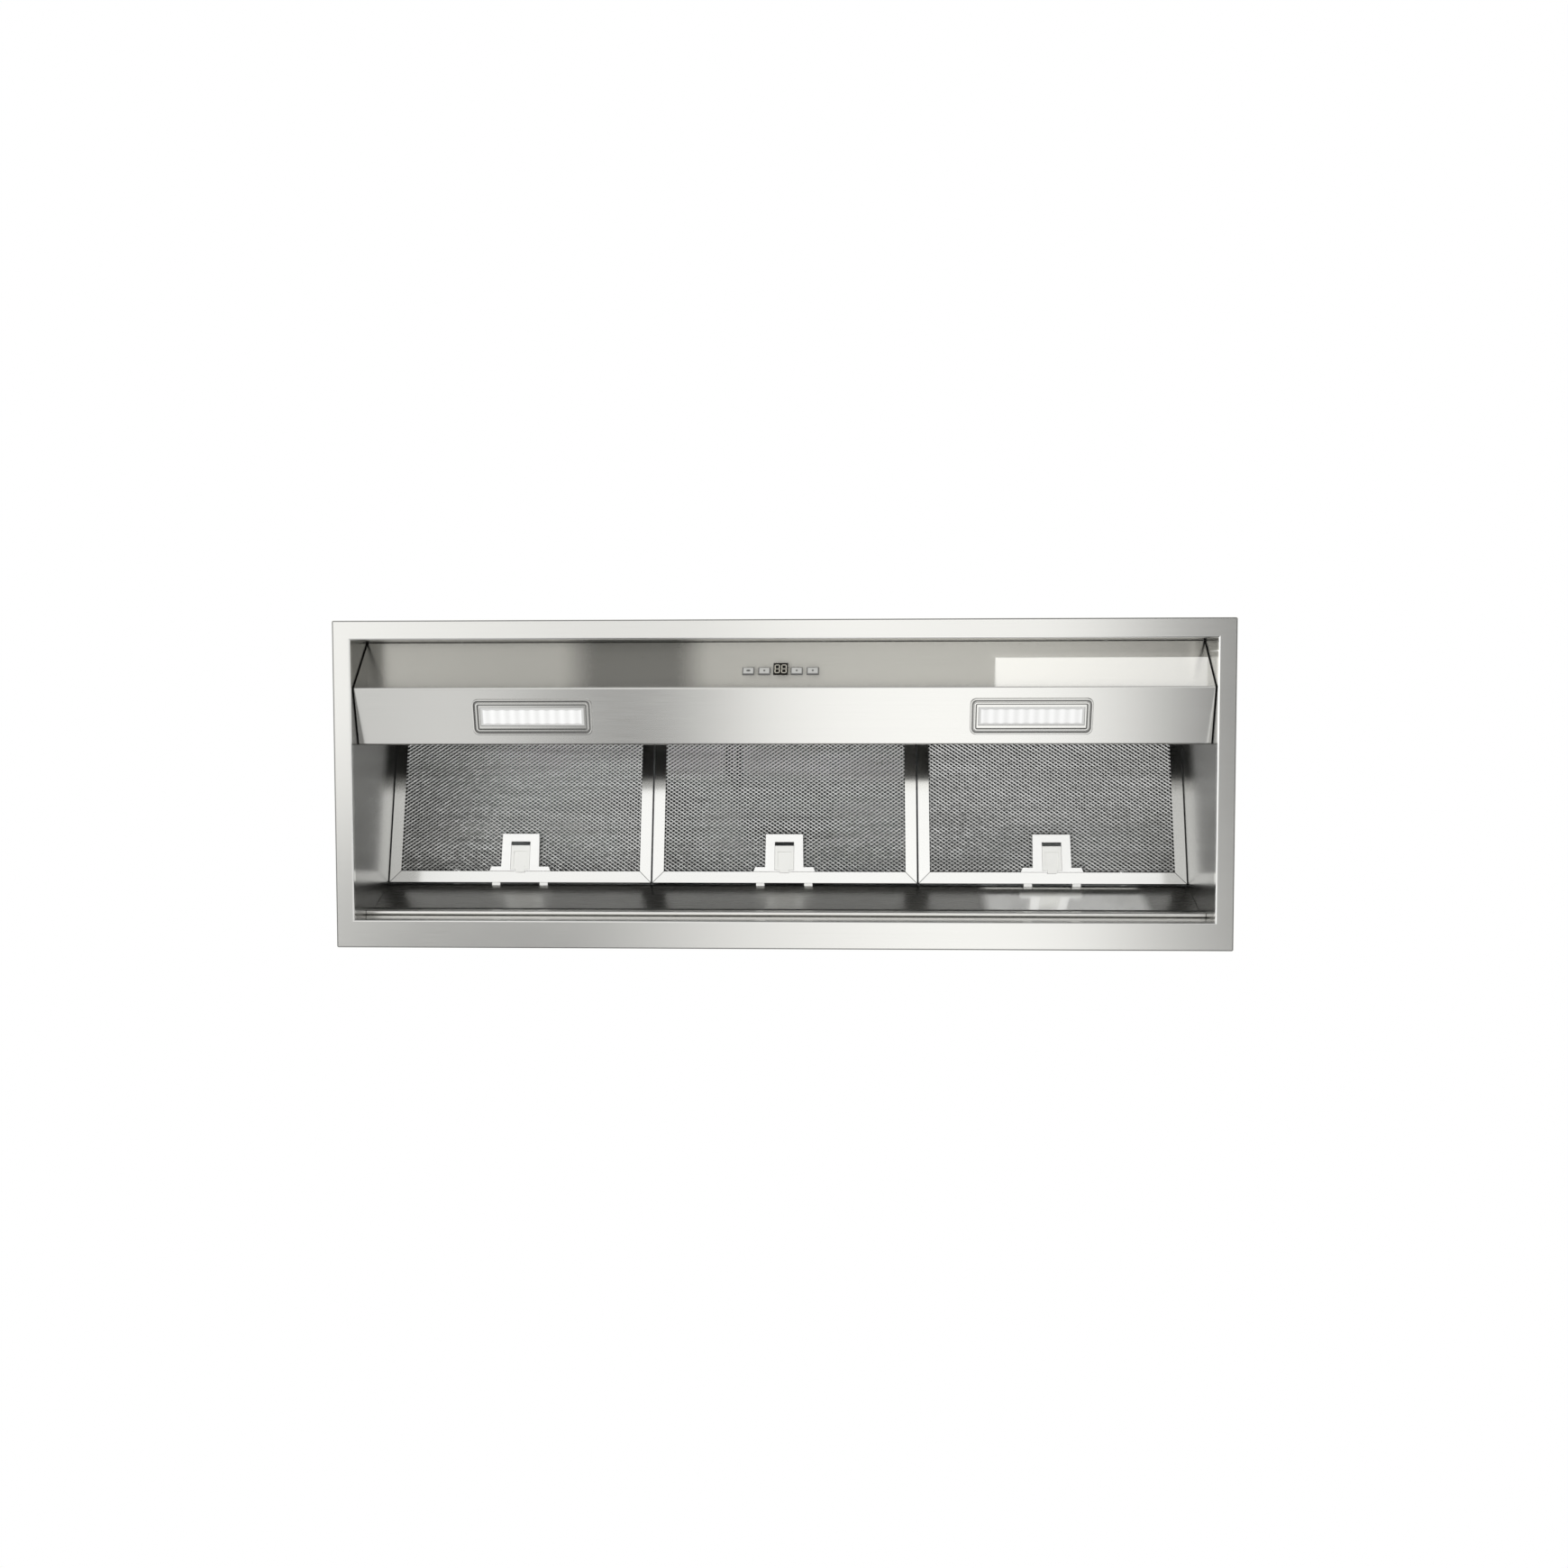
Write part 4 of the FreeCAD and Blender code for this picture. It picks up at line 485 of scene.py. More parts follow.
def brushed_steel(name, colour, rough, grain=1.0, rim=None, bright=None, outer=None):
    """Satin steel with fine brush marks across the hood. rim(finish, x, y, z) marks painted shade,
    where the steel is made darker and duller, bright(x, y, z) marks a painted highlight, where it is
    made lighter and smoother, and outer(finish, x, y, z) marks walls whose coarser brushing runs level
    all round."""
    finish = Finish(name, Metallic=1.0)
    x, y, z = finish.point
    hair = finish.noise(x * 30, y * 3200, z * 3200, detail=3, rough=0.6)
    streak = finish.noise(x * 2.2, y * 420, z * 420)
    cloud = finish.noise(x * 5, y * 8, z * 8)
    tone = (hair - 0.5) * 0.8 * grain + (streak - 0.5) * 0.28 * grain + (cloud - 0.5) * 0.3 + 0.5
    shade = finish.shaded(tone, colour, 0.93, 1.05)
    roughness = rough + (hair - 0.5) * 0.07 + (cloud - 0.5) * 0.04
    if outer:
        level = finish.noise((x + y) * 1.6, z * 900, z * 140, detail=4, rough=0.75)
        sweep = finish.noise((x + y) * 2.4, z * 14, z * 3)
        wall = outer(finish, x, y, z)
        worn = wall * (level.over(0.30, 0.4) * 0.75 + sweep.over(0.3, 0.4) * 0.25)
        shade = finish.mix(worn, shade, tinted(colour, 0.66))
        roughness = roughness + wall * ((level - 0.4) * 0.24 + 0.07)
    # painted highlight: lighter, smoother steel where bright marks it
    if bright:
        highlight_mask = bright(x, y, z)
        shade = finish.mix(highlight_mask, shade, PAINTED_HIGHLIGHT)
        roughness = roughness * (1 - highlight_mask * 0.4)
    # painted shade: darker, duller steel where rim marks it
    if rim:
        edge = rim(finish, x, y, z)
        shade = finish.mix(edge, shade, tinted(colour, 0.30))
        roughness = roughness + edge * 0.15
    finish.set(Base_Color=shade, Roughness=roughness)
    return finish.bump(hair, 0.000012 * grain, 0.4)


def canopy_painted_shade(finish, x, y, z):
    """Painted shade on the canopy: a dark line along the outer rim of its flange, shade on its end
    walls inside, and a darker stretch inside its front wall, there for the control face to show as a
    painted reflection."""
    wide, deep = CAD_BOX[1][0], CAD_BOX[1][1]
    edge_shade_width = 0.0011
    flange_top, walls_foot, front_wall = 0.003, 0.006, -0.13
    # painted shade along the outer rim of the flange
    rim = abs(x).over(wide - edge_shade_width, 0.0008).most(abs(y).over(deep - edge_shade_width, 0.0008))
    out_x, out_y, _ = finish.outward()
    # painted shade on the end walls inside, and a darker stretch inside the front wall as a painted
    # reflection
    ends = (-(out_x * x)).over(0.25, 0.1) * 0.5
    front = out_y.over(0.5, 0.2) * (1 - y.over(front_wall, 0.01))
    dull = front * x.within(-0.212, -0.092, 0.045) * 0.8
    return (rim * (1 - z.over(flange_top, 0.001))).most(ends.most(dull) * z.over(walls_foot, 0.003))


def canopy_outside(finish, x, y, z):
    """1 on the outer faces of the canopy's walls and on the top of its flange."""
    flange_top = 0.004
    out_x, out_y, out_z = finish.outward()
    walls = (out_x * x).over(0.25, 0.1).most((out_y * y).over(0.1, 0.04))
    return walls.most(out_z.over(0.5, 0.2) * (1 - z.over(flange_top, 0.002)))


def flange_bend_highlight(x, y, z):
    """1 along the bend between the flange and the walls, where a highlight is painted."""
    return z.within(0.0001, 0.0022, 0.0002)


def panel_painted_reflection(x, y, z):
    """1 on the stretch at the right of the rear panel where a painted reflection lightens it."""
    return x.within(0.213, 0.380, 0.015)


def upward_painted_shade(finish, x, y, z):
    """1 on faces that look upwards, which are given painted shade."""
    return finish.outward()[2].over(0.2, 0.2)


def off_lamp_line(y, z):
    """How far a point is from the lamps' middle line, along the lamp face."""
    up = (y - RIDGE_Y) * math.cos(LAMP_TILT) + (z - RIDGE_Z) * math.sin(LAMP_TILT)
    return abs(up - LAMP_LINE)


def bezel_painted_groove_shade(finish, x, y, z):
    """Painted shade in the two rings that are pressed into a lamp's bezel, and at half strength along
    its edge.
    """
    half_long, half_short, corner = 0.061, 0.0185, 0.007
    past_x = (abs(abs(x) - LAMP_PLACES["right"]) - (half_long - corner)).most(0)
    past_y = (off_lamp_line(y, z) - (half_short - corner)).most(0)
    inset = corner - (past_x ** 2 + past_y ** 2) ** 0.5
    rings = inset.within(0.0016, 0.0034, 0.0005).most(inset.within(0.0052, 0.0066, 0.0004))
    return rings.most((1 - inset.over(0.0004, 0.0003)) * 0.5)


def galvanised(name, colour, marks=None):
    """Hot-dip zinc with its crystal spangle. marks(finish, x, y, z) is 1 where the sheet is
    pressed in, such as a spot weld or a seam."""
    finish = Finish(name, Metallic=0.9)
    x, y, z = finish.point
    wander = finish.grit(60)
    flake = finish.cells(x * 105 + wander, y * 105 + wander, z * 105 + wander)
    red, green, _ = finish.split(flake)
    feather = finish.grit(700)
    dull = finish.grit(9, detail=3)
    scuff = finish.noise(x * 40, y * 6, z * 200, detail=4, rough=0.7).over(0.66, 0.1)
    tone = red * 0.40 + green * 0.15 + (feather - 0.5) * 0.25 + dull * 0.35 + scuff * 0.15
    shade = finish.shaded(tone, colour, 0.72, 1.15)
    height = red * 0.10 + feather * 0.06
    if marks:
        pressed = marks(finish, x, y, z)
        shade = finish.mix(pressed * 0.45, shade, tinted(colour, 0.35))
        height = height - pressed
    finish.set(Base_Color=shade, Roughness=0.36 + red * 0.12 + (dull - 0.5) * 0.16)
    return finish.bump(height, 0.00022, 0.4)


def casing_marks(finish, x, y, z):
    """Folded seams beside the blower casing's corners, with their rivets."""
    seam_place, rivet_place, rivet_pitch, foot = 0.1665, 0.1725, 0.035, 0.2035
    seam = 1 - abs(abs(x) - seam_place).over(0.0004, 0.0003)
    rivet = finish.dots(z - foot, rivet_pitch, abs(x) - rivet_place, 0.0022) * finish.facing_to("Y")
    return (seam * z.over(foot, 0.0005)).most(rivet * z.over(foot + 0.0045, 0.001))


def lid_marks(finish, x, y, z):
    """Spot welds along the turned-down rim of the lid."""
    pitch, height, radius, top = 0.062, 0.194, 0.0026, 0.1995
    front = finish.dots(x, pitch, z - height, radius) * finish.facing_to("Y")
    ends = finish.dots(y, pitch, z - height, radius) * finish.facing_to("X")
    return front.most(ends) * (1 - z.over(top, 0.0004))


def box_marks(finish, x, y, z):
    """Knock-out rings in the wiring box's walls."""
    height, end_half, front_half = 0.2235, 0.030, 0.040
    on_end = finish.facing_to("X")
    from_end = ((abs(y) - end_half) ** 2 + (z - height) ** 2) ** 0.5
    from_middle = abs(x - centre_of("terminal_box"))
    from_front = ((from_middle - front_half) ** 2 + (z - height) ** 2) ** 0.5
    radius = from_end * on_end + from_front * (1 - on_end)
    return radius.within(0.0090, 0.0098, 0.0003) * (1 - finish.facing_to("Z"))


def moulded(name, colour, rough=0.45, grain=900.0, relief=0.00004, **constants):
    """Moulded plastic with a fine spark-eroded grain and faint flow marks."""
    finish = Finish(name, **constants)
    x, y, z = finish.point
    spark = finish.grit(grain)
    flow = finish.noise(x * 22, y * 35, z * 22, detail=3)
    finish.set(Base_Color=finish.shaded(flow * 0.7 + spark * 0.3, colour, 0.93, 1.04),
               Roughness=rough + (spark - 0.5) * 0.12 + (flow - 0.5) * 0.10)
    return finish.bump(spark, relief, 0.4)


def rolled_metal(name, colour, rough):
    """Rolled bright metal with faint lines and handling marks."""
    finish = Finish(name, Metallic=1.0)
    x, y, z = finish.point
    roll = finish.noise(x * 14, y * 900, z * 900, detail=3)
    mark = finish.grit(55, detail=4, rough=0.7)
    finish.set(Base_Color=finish.shaded(roll * 0.5 + mark * 0.5, colour, 0.9, 1.06),
               Roughness=rough + (roll - 0.5) * 0.10 + (mark - 0.5) * 0.08)
    return finish.bump(roll, 0.00002, 0.3)


def expanded_aluminium(name, colour, low, high, rough):
    """Slit and stretched sheet, in bands and flecks from low to high times its colour."""
    finish = Finish(name, Metallic=1.0)
    x, y, z = finish.point
    band = finish.noise(x * 9, y * 130, z * 9, rough=0.6)
    fleck = finish.grit(420, detail=1)
    finish.set(Base_Color=finish.shaded(band.over(0.5, 0.5) * 0.65 + fleck * 0.35, colour, low, high),
               Roughness=rough + (fleck - 0.5) * 0.16 + (band - 0.5) * 0.1)


def frame_aluminium(side, colour):
    """Bright anodised channel: the lines run along each bar and turn at the mitred corners."""
    half, start, end, bar = 0.143, 0.006, 0.251, 0.0135
    finish = Finish("frame_aluminium_" + side, Metallic=1.0)
    x, y, z = finish.point
    hinge_x, hinge_y, hinge_z = JOINTS["filter_%s_hinge" % side]["pos_m"]
    across = abs(x - hinge_x)
    down = (y - hinge_y) * math.cos(FILTER_TILT) - (z - hinge_z) * math.sin(FILTER_TILT)
    past_mitre = (end - down).least(down - start) - (half - across)
    upright = past_mitre.over(0.0, 0.0002)
    seam = (1 - abs(past_mitre).over(0.00045, 0.0004)) * across.over(half - bar, 0.001)
    along_x = finish.noise(x * 12, down * 1500, z * 60)
    along_y = finish.noise(across * 1500, down * 12, z * 60)
    line = along_x * (1 - upright) + along_y * upright
    mark = finish.grit(60, detail=3, rough=0.65)
    bright = finish.shaded(line * 0.5 + mark * 0.5, colour, 0.96, 1.03)
    bright = finish.mix((1 - upright) * 0.10, bright, tinted(colour, 0.6))
    finish.set(Base_Color=finish.mix(seam * 0.85, bright, SEAM_BLACK),
               Roughness=0.13 + (line - 0.5) * 0.03 + (mark - 0.5) * 0.03 + seam * 0.3)
    coat("frame_aluminium_" + side, "filter_frame_" + side)


def frosted_lens(side):
    """Frosted lens over a row of diodes, faintly lit in cells."""
    half_long, half_short, cell_pitch = 0.0502, 0.0066, 0.0101
    centre = LAMP_PLACES[side]
    lens = Finish("frosted_lens_" + side, IOR=1.5, Emission_Strength=0.24)
    x, y, z = lens.point
    cell = (x - centre).wave(cell_pitch, math.pi / 2)
    lit = 1 - (off_lamp_line(y, z) - cell * 0.0006).over(half_short, 0.0008)
    glow = lit * (1 - abs(x - centre).over(half_long, 0.001)) * (0.66 + cell * 0.34)
    frost = lens.grit(700)
    lens.set(Base_Color=lens.mix(glow * 0.8 + frost * 0.2, (0.40, 0.40, 0.395), (0.62, 0.62, 0.62)),
             Roughness=0.30 + frost * 0.15,
             Emission_Color=lens.mix(glow, (0.50, 0.50, 0.49), (1, 1, 1)))
    lens.bump(frost, 0.00003, 0.4)
    coat("frosted_lens_" + side, "lamp_lens_" + side)


def key_cap(number):
    """Painted key, with painted shade where it turns down at its rim."""
    half_long, half_short = 0.0050, 0.0038
    key = Finish("key_cap_%d" % number, IOR=1.5, Coat_Weight=0.3, Coat_Roughness=0.2)
    x, y, z = key.point
    up = (y - RIDGE_Y) * math.cos(CONTROL_TILT) - (z - RIDGE_Z) * math.sin(CONTROL_TILT)
    across = abs(x - KEY_PLACES[number])
    rim = across.over(half_long, 0.0006).most(abs(up - KEY_LINE).over(half_short, 0.0006))
    spark = key.grit(900)
    # the rim is given painted shade, near black
    key.set(Base_Color=key.mix(rim * 0.85, (0.50, 0.50, 0.485), (0.09, 0.09, 0.088)),
            Roughness=0.30 + (spark - 0.5) * 0.12)
    key.bump(spark, 0.00002, 0.3)
    coat("key_cap_%d" % number, "push_button_%d" % number)


# ---------------------------------------------------------------- the pieces, group by group

class HOOD_OT_sheet_finishes(bpy.types.Operator):
    """Brush the steel sheets and spangle the galvanised ones"""
    bl_idname = "hood.sheet_finishes"
    bl_label = "Sheet finishes"

    def execute(self, context):
        colours = context.scene.hood_colours
        steel, zinc = tuple(colours.steel), tuple(colours.zinc)
        brushed_steel("canopy_steel", steel, 0.17, rim=canopy_painted_shade, outer=canopy_outside,
                      bright=flange_bend_highlight)
        brushed_steel("visor_steel", steel, 0.16, grain=0.9, rim=upward_painted_shade)
        # the rear panel's steel is made half as bright as painted shade, with a painted reflection at
        # its right
        brushed_steel("panel_steel_painted_light", tinted(steel, 0.50), 0.27, bright=panel_painted_reflection)
        # the gutter's steel is made lighter than the rest: painted light
        brushed_steel("gutter_steel_painted_light", tinted(steel, 1.15), 0.27)
        brushed_steel("bezel_steel", steel, 0.12, grain=0.5, rim=bezel_painted_groove_shade)
        galvanised("galvanised_sheet", zinc)
        galvanised("galvanised_casing", zinc, casing_marks)
        galvanised("galvanised_lid", zinc, lid_marks)
        galvanised("galvanised_box", zinc, box_marks)
        coat("canopy_steel", "canopy_shell")
        coat("visor_steel", "visor")
        coat("panel_steel_painted_light", "rear_slope")
        coat("gutter_steel_painted_light", "grease_gutter")
        coat("bezel_steel", "lamp_bezel_left", "lamp_bezel_right")
        coat("galvanised_sheet", "filter_rail", "fan_scroll", "inlet_rings", "motor_bracket",
             "box_lid", "fan_wheel")
        coat("galvanised_casing", "motor_casing")
        coat("galvanised_lid", "top_panel")
        coat("galvanised_box", "terminal_box")
        return {"FINISHED"}


class HOOD_OT_filter_packs(bpy.types.Operator):
    """Weave the filters' expanded aluminium and finish their frames"""
    bl_idname = "hood.filter_packs"
    bl_label = "Filter packs"

    # In a filter's own frame: how far its mesh reaches, and the steps of the latch's bay in it,
    # each as its start down the slope and its half width.
    half, start, end = 0.1335, 0.0155, 0.2405
    bay = ((0.2050, 0.0108), (0.2365, 0.0318))

    def strand(self, sizes, lean, share):
        """One leaning strand from a joint to the middle of its opening. Lean and share are its
        turn on edge and its width, as shares of the usual ones."""
        long, short = sizes.cell_long / 2, sizes.cell_short / 2
        bar = block("strand", (0, 0, 0), (long, sizes.strand * share, sizes.gauge))
        for end in (-1, 1):
            pick(bar, lambda corner: corner.co.x * end > 0, "VERT")
            bpy.ops.transform.translate(value=(0, end * short / 2, 0))
            close_edit()
        for edge in (-1, 1):
            pick(bar, lambda face: face.normal.y * edge > 0.5)
            bpy.ops.transform.translate(value=(0, 0, edge * sizes.lean * lean / 2))
            close_edit()
        pick(bar, lambda face: abs(face.normal.x) > 0.5)
        bpy.ops.mesh.delete(type="FACE")
        close_edit()
        bar.data.transform(Matrix.Translation((long / 2, short / 2, 0)))
        return bar

    def sheet(self, sizes, name, height, shift):
        """One sheet: four strands make a cell, and the cell is repeated both ways. The rising
        strands are slimmer and flatter than the falling ones."""
        rising = self.strand(sizes, lean=0.35, share=0.92)
        falling = self.strand(sizes, lean=0.9, share=1.28)
        for corner in falling.data.vertices:
            corner.co.x = sizes.cell_long - corner.co.x
        falling.data.flip_normals()
        lower = merge(name, [rising, falling])
        upper = twin(lower, "upper")
        upper.data.transform(Matrix.Translation((-sizes.cell_long / 2, sizes.cell_short / 2, 0)))
        mesh = merge(name, [lower, upper])
        across = int(2 * self.half / sizes.cell_long) + 3
        down = int((self.end - self.start) / sizes.cell_short) + 3
        repeat(mesh, across, (sizes.cell_long, 0, 0))
        repeat(mesh, down, (0, sizes.cell_short, 0))
        mesh.data.transform(Matrix.Translation((shift[0] - self.half - sizes.cell_long,
                                                shift[1] + self.start - sizes.cell_short, height)))
        for corner in mesh.data.vertices:
            corner.co += noise_vector(corner.co * 500) * sizes.wander
        for point, normal in (((-self.half, 0, 0), (-1, 0, 0)), ((self.half, 0, 0), (1, 0, 0)),
                              ((0, self.start, 0), (0, -1, 0)), ((0, self.end, 0), (0, 1, 0))):
            edit(mesh)
            bpy.ops.mesh.select_all(action="SELECT")
            bpy.ops.mesh.bisect(plane_co=point, plane_no=normal, clear_outer=True)
            close_edit()
        return mesh

    def mirror(self, mesh):
        """Turn a sheet left for right."""
        mesh.data.transform(Matrix.Scale(-1, 4, (1, 0, 0)))
        mesh.data.flip_normals()

    def open_bay(self, mesh):
        """Cut the latch's bay out of a sheet."""
        pick(mesh, lambda corner: any(corner.co.y > start and abs(corner.co.x) < half
                                      for start, half in self.bay), "VERT")
        bpy.ops.mesh.delete(type="VERT")
        close_edit()

    def execute(self, context):
        seed_set(WANDER_SEED)
        sizes = context.scene.hood_mesh
        colour = tuple(context.scene.hood_colours.aluminium)
        expanded_aluminium("mesh_aluminium", colour, low=0.74, high=1.20, rough=0.32)
        # the sheet behind is made almost black: painted shade between the layers
        expanded_aluminium("mesh_behind_painted_shade", colour, low=0.01, high=0.05, rough=0.5)
        front = self.sheet(sizes, "front_sheet", height=-0.0024, shift=(0, 0))
        back = self.sheet(sizes, "back_sheet", height=0.0, shift=(0.0015, 0.0008))
        self.mirror(back)
        self.open_bay(front)
        self.open_bay(back)
        for side in SIDES:
            for mesh, name, finish, nodes in (
                    (front, "filter_weave_", "mesh_aluminium", ["filter_mesh_" + side]),
                    (back, "filter_underlay_", "mesh_behind_painted_shade", [])):
                sheet = twin(mesh, name + side)
                if side == "right":
                    self.mirror(sheet)
                sheet.data.transform(filter_frame(side))
                carry(sheet, "filter_" + side, finish, "filter_aluminium", *nodes)
            frame_aluminium(side, colour)
        bpy.data.objects.remove(front)
        bpy.data.objects.remove(back)
        return {"FINISHED"}


class HOOD_OT_latches(bpy.types.Operator):
    """Finish the white nylon latches"""
    bl_idname = "hood.latches"
    bl_label = "Latches"

    def execute(self, context):
        moulded("white_nylon", tuple(context.scene.hood_colours.nylon), 0.42, IOR=1.5)
        moulded("slide_nylon", (0.80, 0.80, 0.775), 0.36, IOR=1.5)
        for side in SIDES:
            coat("white_nylon", "latch_base_" + side)
            coat("slide_nylon", "latch_slide_" + side)
        return {"FINISHED"}


class HOOD_OT_lamps(bpy.types.Operator):
    """Finish the lamps, from the frosted lenses to the cans behind"""
    bl_idname = "hood.lamps"
    bl_label = "Lamps"

    def execute(self, context):
        for side in LAMP_PLACES:
            frosted_lens(side)
        moulded("lamp_board", (0.9, 0.9, 0.88), 0.5)
        coat("lamp_board", "led_board_left", "led_board_right")
        moulded("grey_moulding", (0.10, 0.103, 0.108), 0.5)
        coat("grey_moulding", "lamp_can_left", "lamp_can_right", "control_box")
        return {"FINISHED"}


class HOOD_OT_controls(bpy.types.Operator):
    """Finish the keys and lay the digits on the display"""
    bl_idname = "hood.controls"
    bl_label = "Controls"

    film = 0.00006        # how thick the marks and the digits' bars are

    def digits(self):
        """Two figures of eight, each of seven bars with cut corners."""
        tall, wide, thick, gap = 0.0056, 0.0044, 0.0009, 0.0004
        line, depth = -0.0270, -0.00031
        bars = []
        for centre in (-0.0034, 0.0034):
            for x, y in ((0, tall), (0, 0), (0, -tall), (-wide / 2, tall / 2), (wide / 2, tall / 2),
                         (-wide / 2, -tall / 2), (wide / 2, -tall / 2)):
                size = (wide - gap, thick, self.film) if x == 0 else (thick, tall - gap, self.film)
                bar = block("bar", (centre + x, y, 0), size)
                pick(bar, lambda edge: abs(edge.verts[0].co.z - edge.verts[1].co.z) > self.film / 2,
                     "EDGE")
                bpy.ops.mesh.bevel(offset=thick * 0.45, segments=1)
                close_edit()
                bar.data.transform(Matrix.Translation((0, line, depth)))
                bars.append(bar)
        digits = merge("display_digits", bars)
        digits.data.transform(control_frame())
        carry(digits, "root", "digit_grey", "smoked_window")

    def key_mark(self, number):
        """A pressed-in mark on a key: an oval on the first, round ones on the others."""
        radius, depth = 0.0011, -0.00121
        mark = rod("key_mark_%d" % number, (0, 0, 0), radius, self.film, sides=28)
        pick(mark, lambda face: abs(face.normal.z) > 0.9)
        bpy.ops.mesh.inset(thickness=0.0002)
        close_edit()
        if number == 1:
            mark.data.transform(Matrix.Diagonal((2.0, 1.1, 1.0, 1.0)))
        mark.data.transform(Matrix.Translation((KEY_PLACES[number], KEY_LINE, depth)))
        mark.data.transform(control_frame())
        carry(mark, "button_%d" % number, "mark_ink", "silver_key")

    def execute(self, context):
        window = moulded("smoked_window", (0.012, 0.011, 0.010), 0.16, relief=0.000005, IOR=1.49)
        window.set(Specular_IOR_Level=0.2)
        coat("smoked_window", "display_window")
        moulded("board_green", (0.03, 0.17, 0.08), 0.4)
        coat("board_green", "control_board")
        digit_grey = moulded("digit_grey", (0.46, 0.44, 0.38), 0.4, relief=0.000005)
        # a faint glow: painted light that lightens the digits
        digit_grey.set(Emission_Color=(0.50, 0.48, 0.42), Emission_Strength=0.22)
        self.digits()
        moulded("mark_ink", (0.06, 0.06, 0.058), 0.5, relief=0.000005)
        for number in KEY_PLACES:
            key_cap(number)
            self.key_mark(number)
        return {"FINISHED"}


class HOOD_OT_blower(bpy.types.Operator):
    """Finish the blower's motor and the round outlet"""
    bl_idname = "hood.blower"
    bl_label = "Blower and outlet"

    def execute(self, context):
        moulded("motor_enamel", (0.035, 0.038, 0.042), 0.4, grain=500)
        coat("motor_enamel", "fan_motor")
        collar = moulded("collar_moulding", (0.050, 0.052, 0.055), 0.46)
        z = collar.point[2]
        rings = z.wave(0.0030) * z.within(0.4065, 0.4185, 0.0006)
        collar.bump(rings, 0.0004, 0.6)
        coat("collar_moulding", "duct_collar", "flap_left", "flap_right")
        rolled_metal("bright_zinc", (0.72, 0.73, 0.75), 0.25)
        coat("bright_zinc", "fan_shaft", "flap_rod", "casing_screws", "collar_screws",
             "visor_screws")
        return {"FINISHED"}


class HOOD_OT_fixings(bpy.types.Operator):
    """Turn the plain screws into pan heads with a cross recess"""
    bl_idname = "hood.fixings"
    bl_label = "Fixings"

    def screw(self, height, length):
        """A pan-head screw: its head's flat side is at nought, its shank goes down. Crown, floor
        and point are the shares that its top, its recess and its tip narrow to."""
        head_radius, crown, rounding = 0.0036, 0.78, 0.0004
        shank_radius, point, taper = 0.0015, 0.4, 0.0004
        arm, slit, depth, floor = 0.0036, 0.0007, 0.0016, 0.6
        head = rod("screw", (0, 0, height / 2), head_radius, height, sides=40)
        pick(head, lambda face: face.normal.z > 0.9)
        bpy.ops.transform.resize(value=(crown, crown, 1))
        bpy.ops.mesh.inset(thickness=rounding)
        bpy.ops.transform.translate(value=(0, 0, height * 0.06))
        close_edit()
        soften(head, rounding)
        for size in ((arm, slit, depth), (slit, arm, depth)):
            slot = block("slot", (0, 0, height * 1.03), size)
            pick(slot, lambda face: face.normal.z < -0.9)
            bpy.ops.transform.resize(value=(floor, floor, 1))
            close_edit()
            cut_with(head, slot)
        shank = rod("shank", (0, 0, 0.0001 - length / 2), shank_radius, length, sides=20)
        pick(shank, lambda face: face.normal.z < -0.9)
        bpy.ops.mesh.extrude_region_move()
        bpy.ops.transform.resize(value=(point, point, 1))
        bpy.ops.transform.translate(value=(0, 0, -taper))
        close_edit()
        return merge("screw", [head, shank])

    def upright(self, name, places, seat, tip):
        """Screws on a level sheet, each turned its own way, in place of the CAD node's."""
        screw = self.screw(height=0.0018, length=seat - tip)
        turns = (0.3, 1.1, 0.7, 1.9, 0.1, 1.4, 0.9)
        spots = [Matrix.Translation((x, y, seat)) @ Matrix.Rotation(turn, 4, "Z")
                 for (x, y), turn in zip(places, turns)]
        row = copy_to(screw, name + "_pan_heads", spots)
        carry(row, "root", "bright_zinc", "bright_zinc", name + "_screws")

    def lid_screws(self):
        """Screws in the turned-down rim of the wiring box's lid, two in front and two behind."""
        half, height = 0.0491, 0.2435
        screw = self.screw(height=0.0014, length=0.0004)
        spots = [Matrix.Translation((x, end * half, height))
                 @ Matrix.Rotation(math.radians(end * -90), 4, "X") @ Matrix.Rotation(0.4, 4, "Z")
                 for x in (0.232, 0.346) for end in (-1, 1)]
        carry(copy_to(screw, "lid_pan_heads", spots), "root", "bright_zinc", "bright_zinc")

    def execute(self, context):
        rim = [(x, y) for x in (-0.172, 0.172) for y in (-0.0525, 0.065)]
        rim += [(x, -0.112) for x in (-0.110, 0.0, 0.110)]
        corners = [(x, y) for x in (-0.070, 0.070) for y in (-0.0243, 0.1157)]
        self.upright("casing", rim, seat=0.2020, tip=0.1994)
        self.upright("collar", corners, seat=0.3820, tip=0.3804)
        self.lid_screws()
        return {"FINISHED"}


class HOOD_OT_wiring_box(bpy.types.Operator):
    """Finish what the wiring box holds"""
    bl_idname = "hood.wiring_box"
    bl_label = "Wiring box"

    def execute(self, context):
        moulded("terminal_nylon", (0.80, 0.79, 0.74), 0.4)
        moulded("capacitor_case", (0.72, 0.72, 0.68), 0.35)
        moulded("driver_case", (0.78, 0.78, 0.75), 0.45)
        moulded("grommet_rubber", (0.018, 0.018, 0.018), 0.6, relief=0.00006)
        coat("terminal_nylon", "terminal_block")
        coat("capacitor_case", "capacitor")
        coat("driver_case", "led_driver")
        coat("grommet_rubber", "cable_grommet")
        return {"FINISHED"}


# ---------------------------------------------------------------- stage

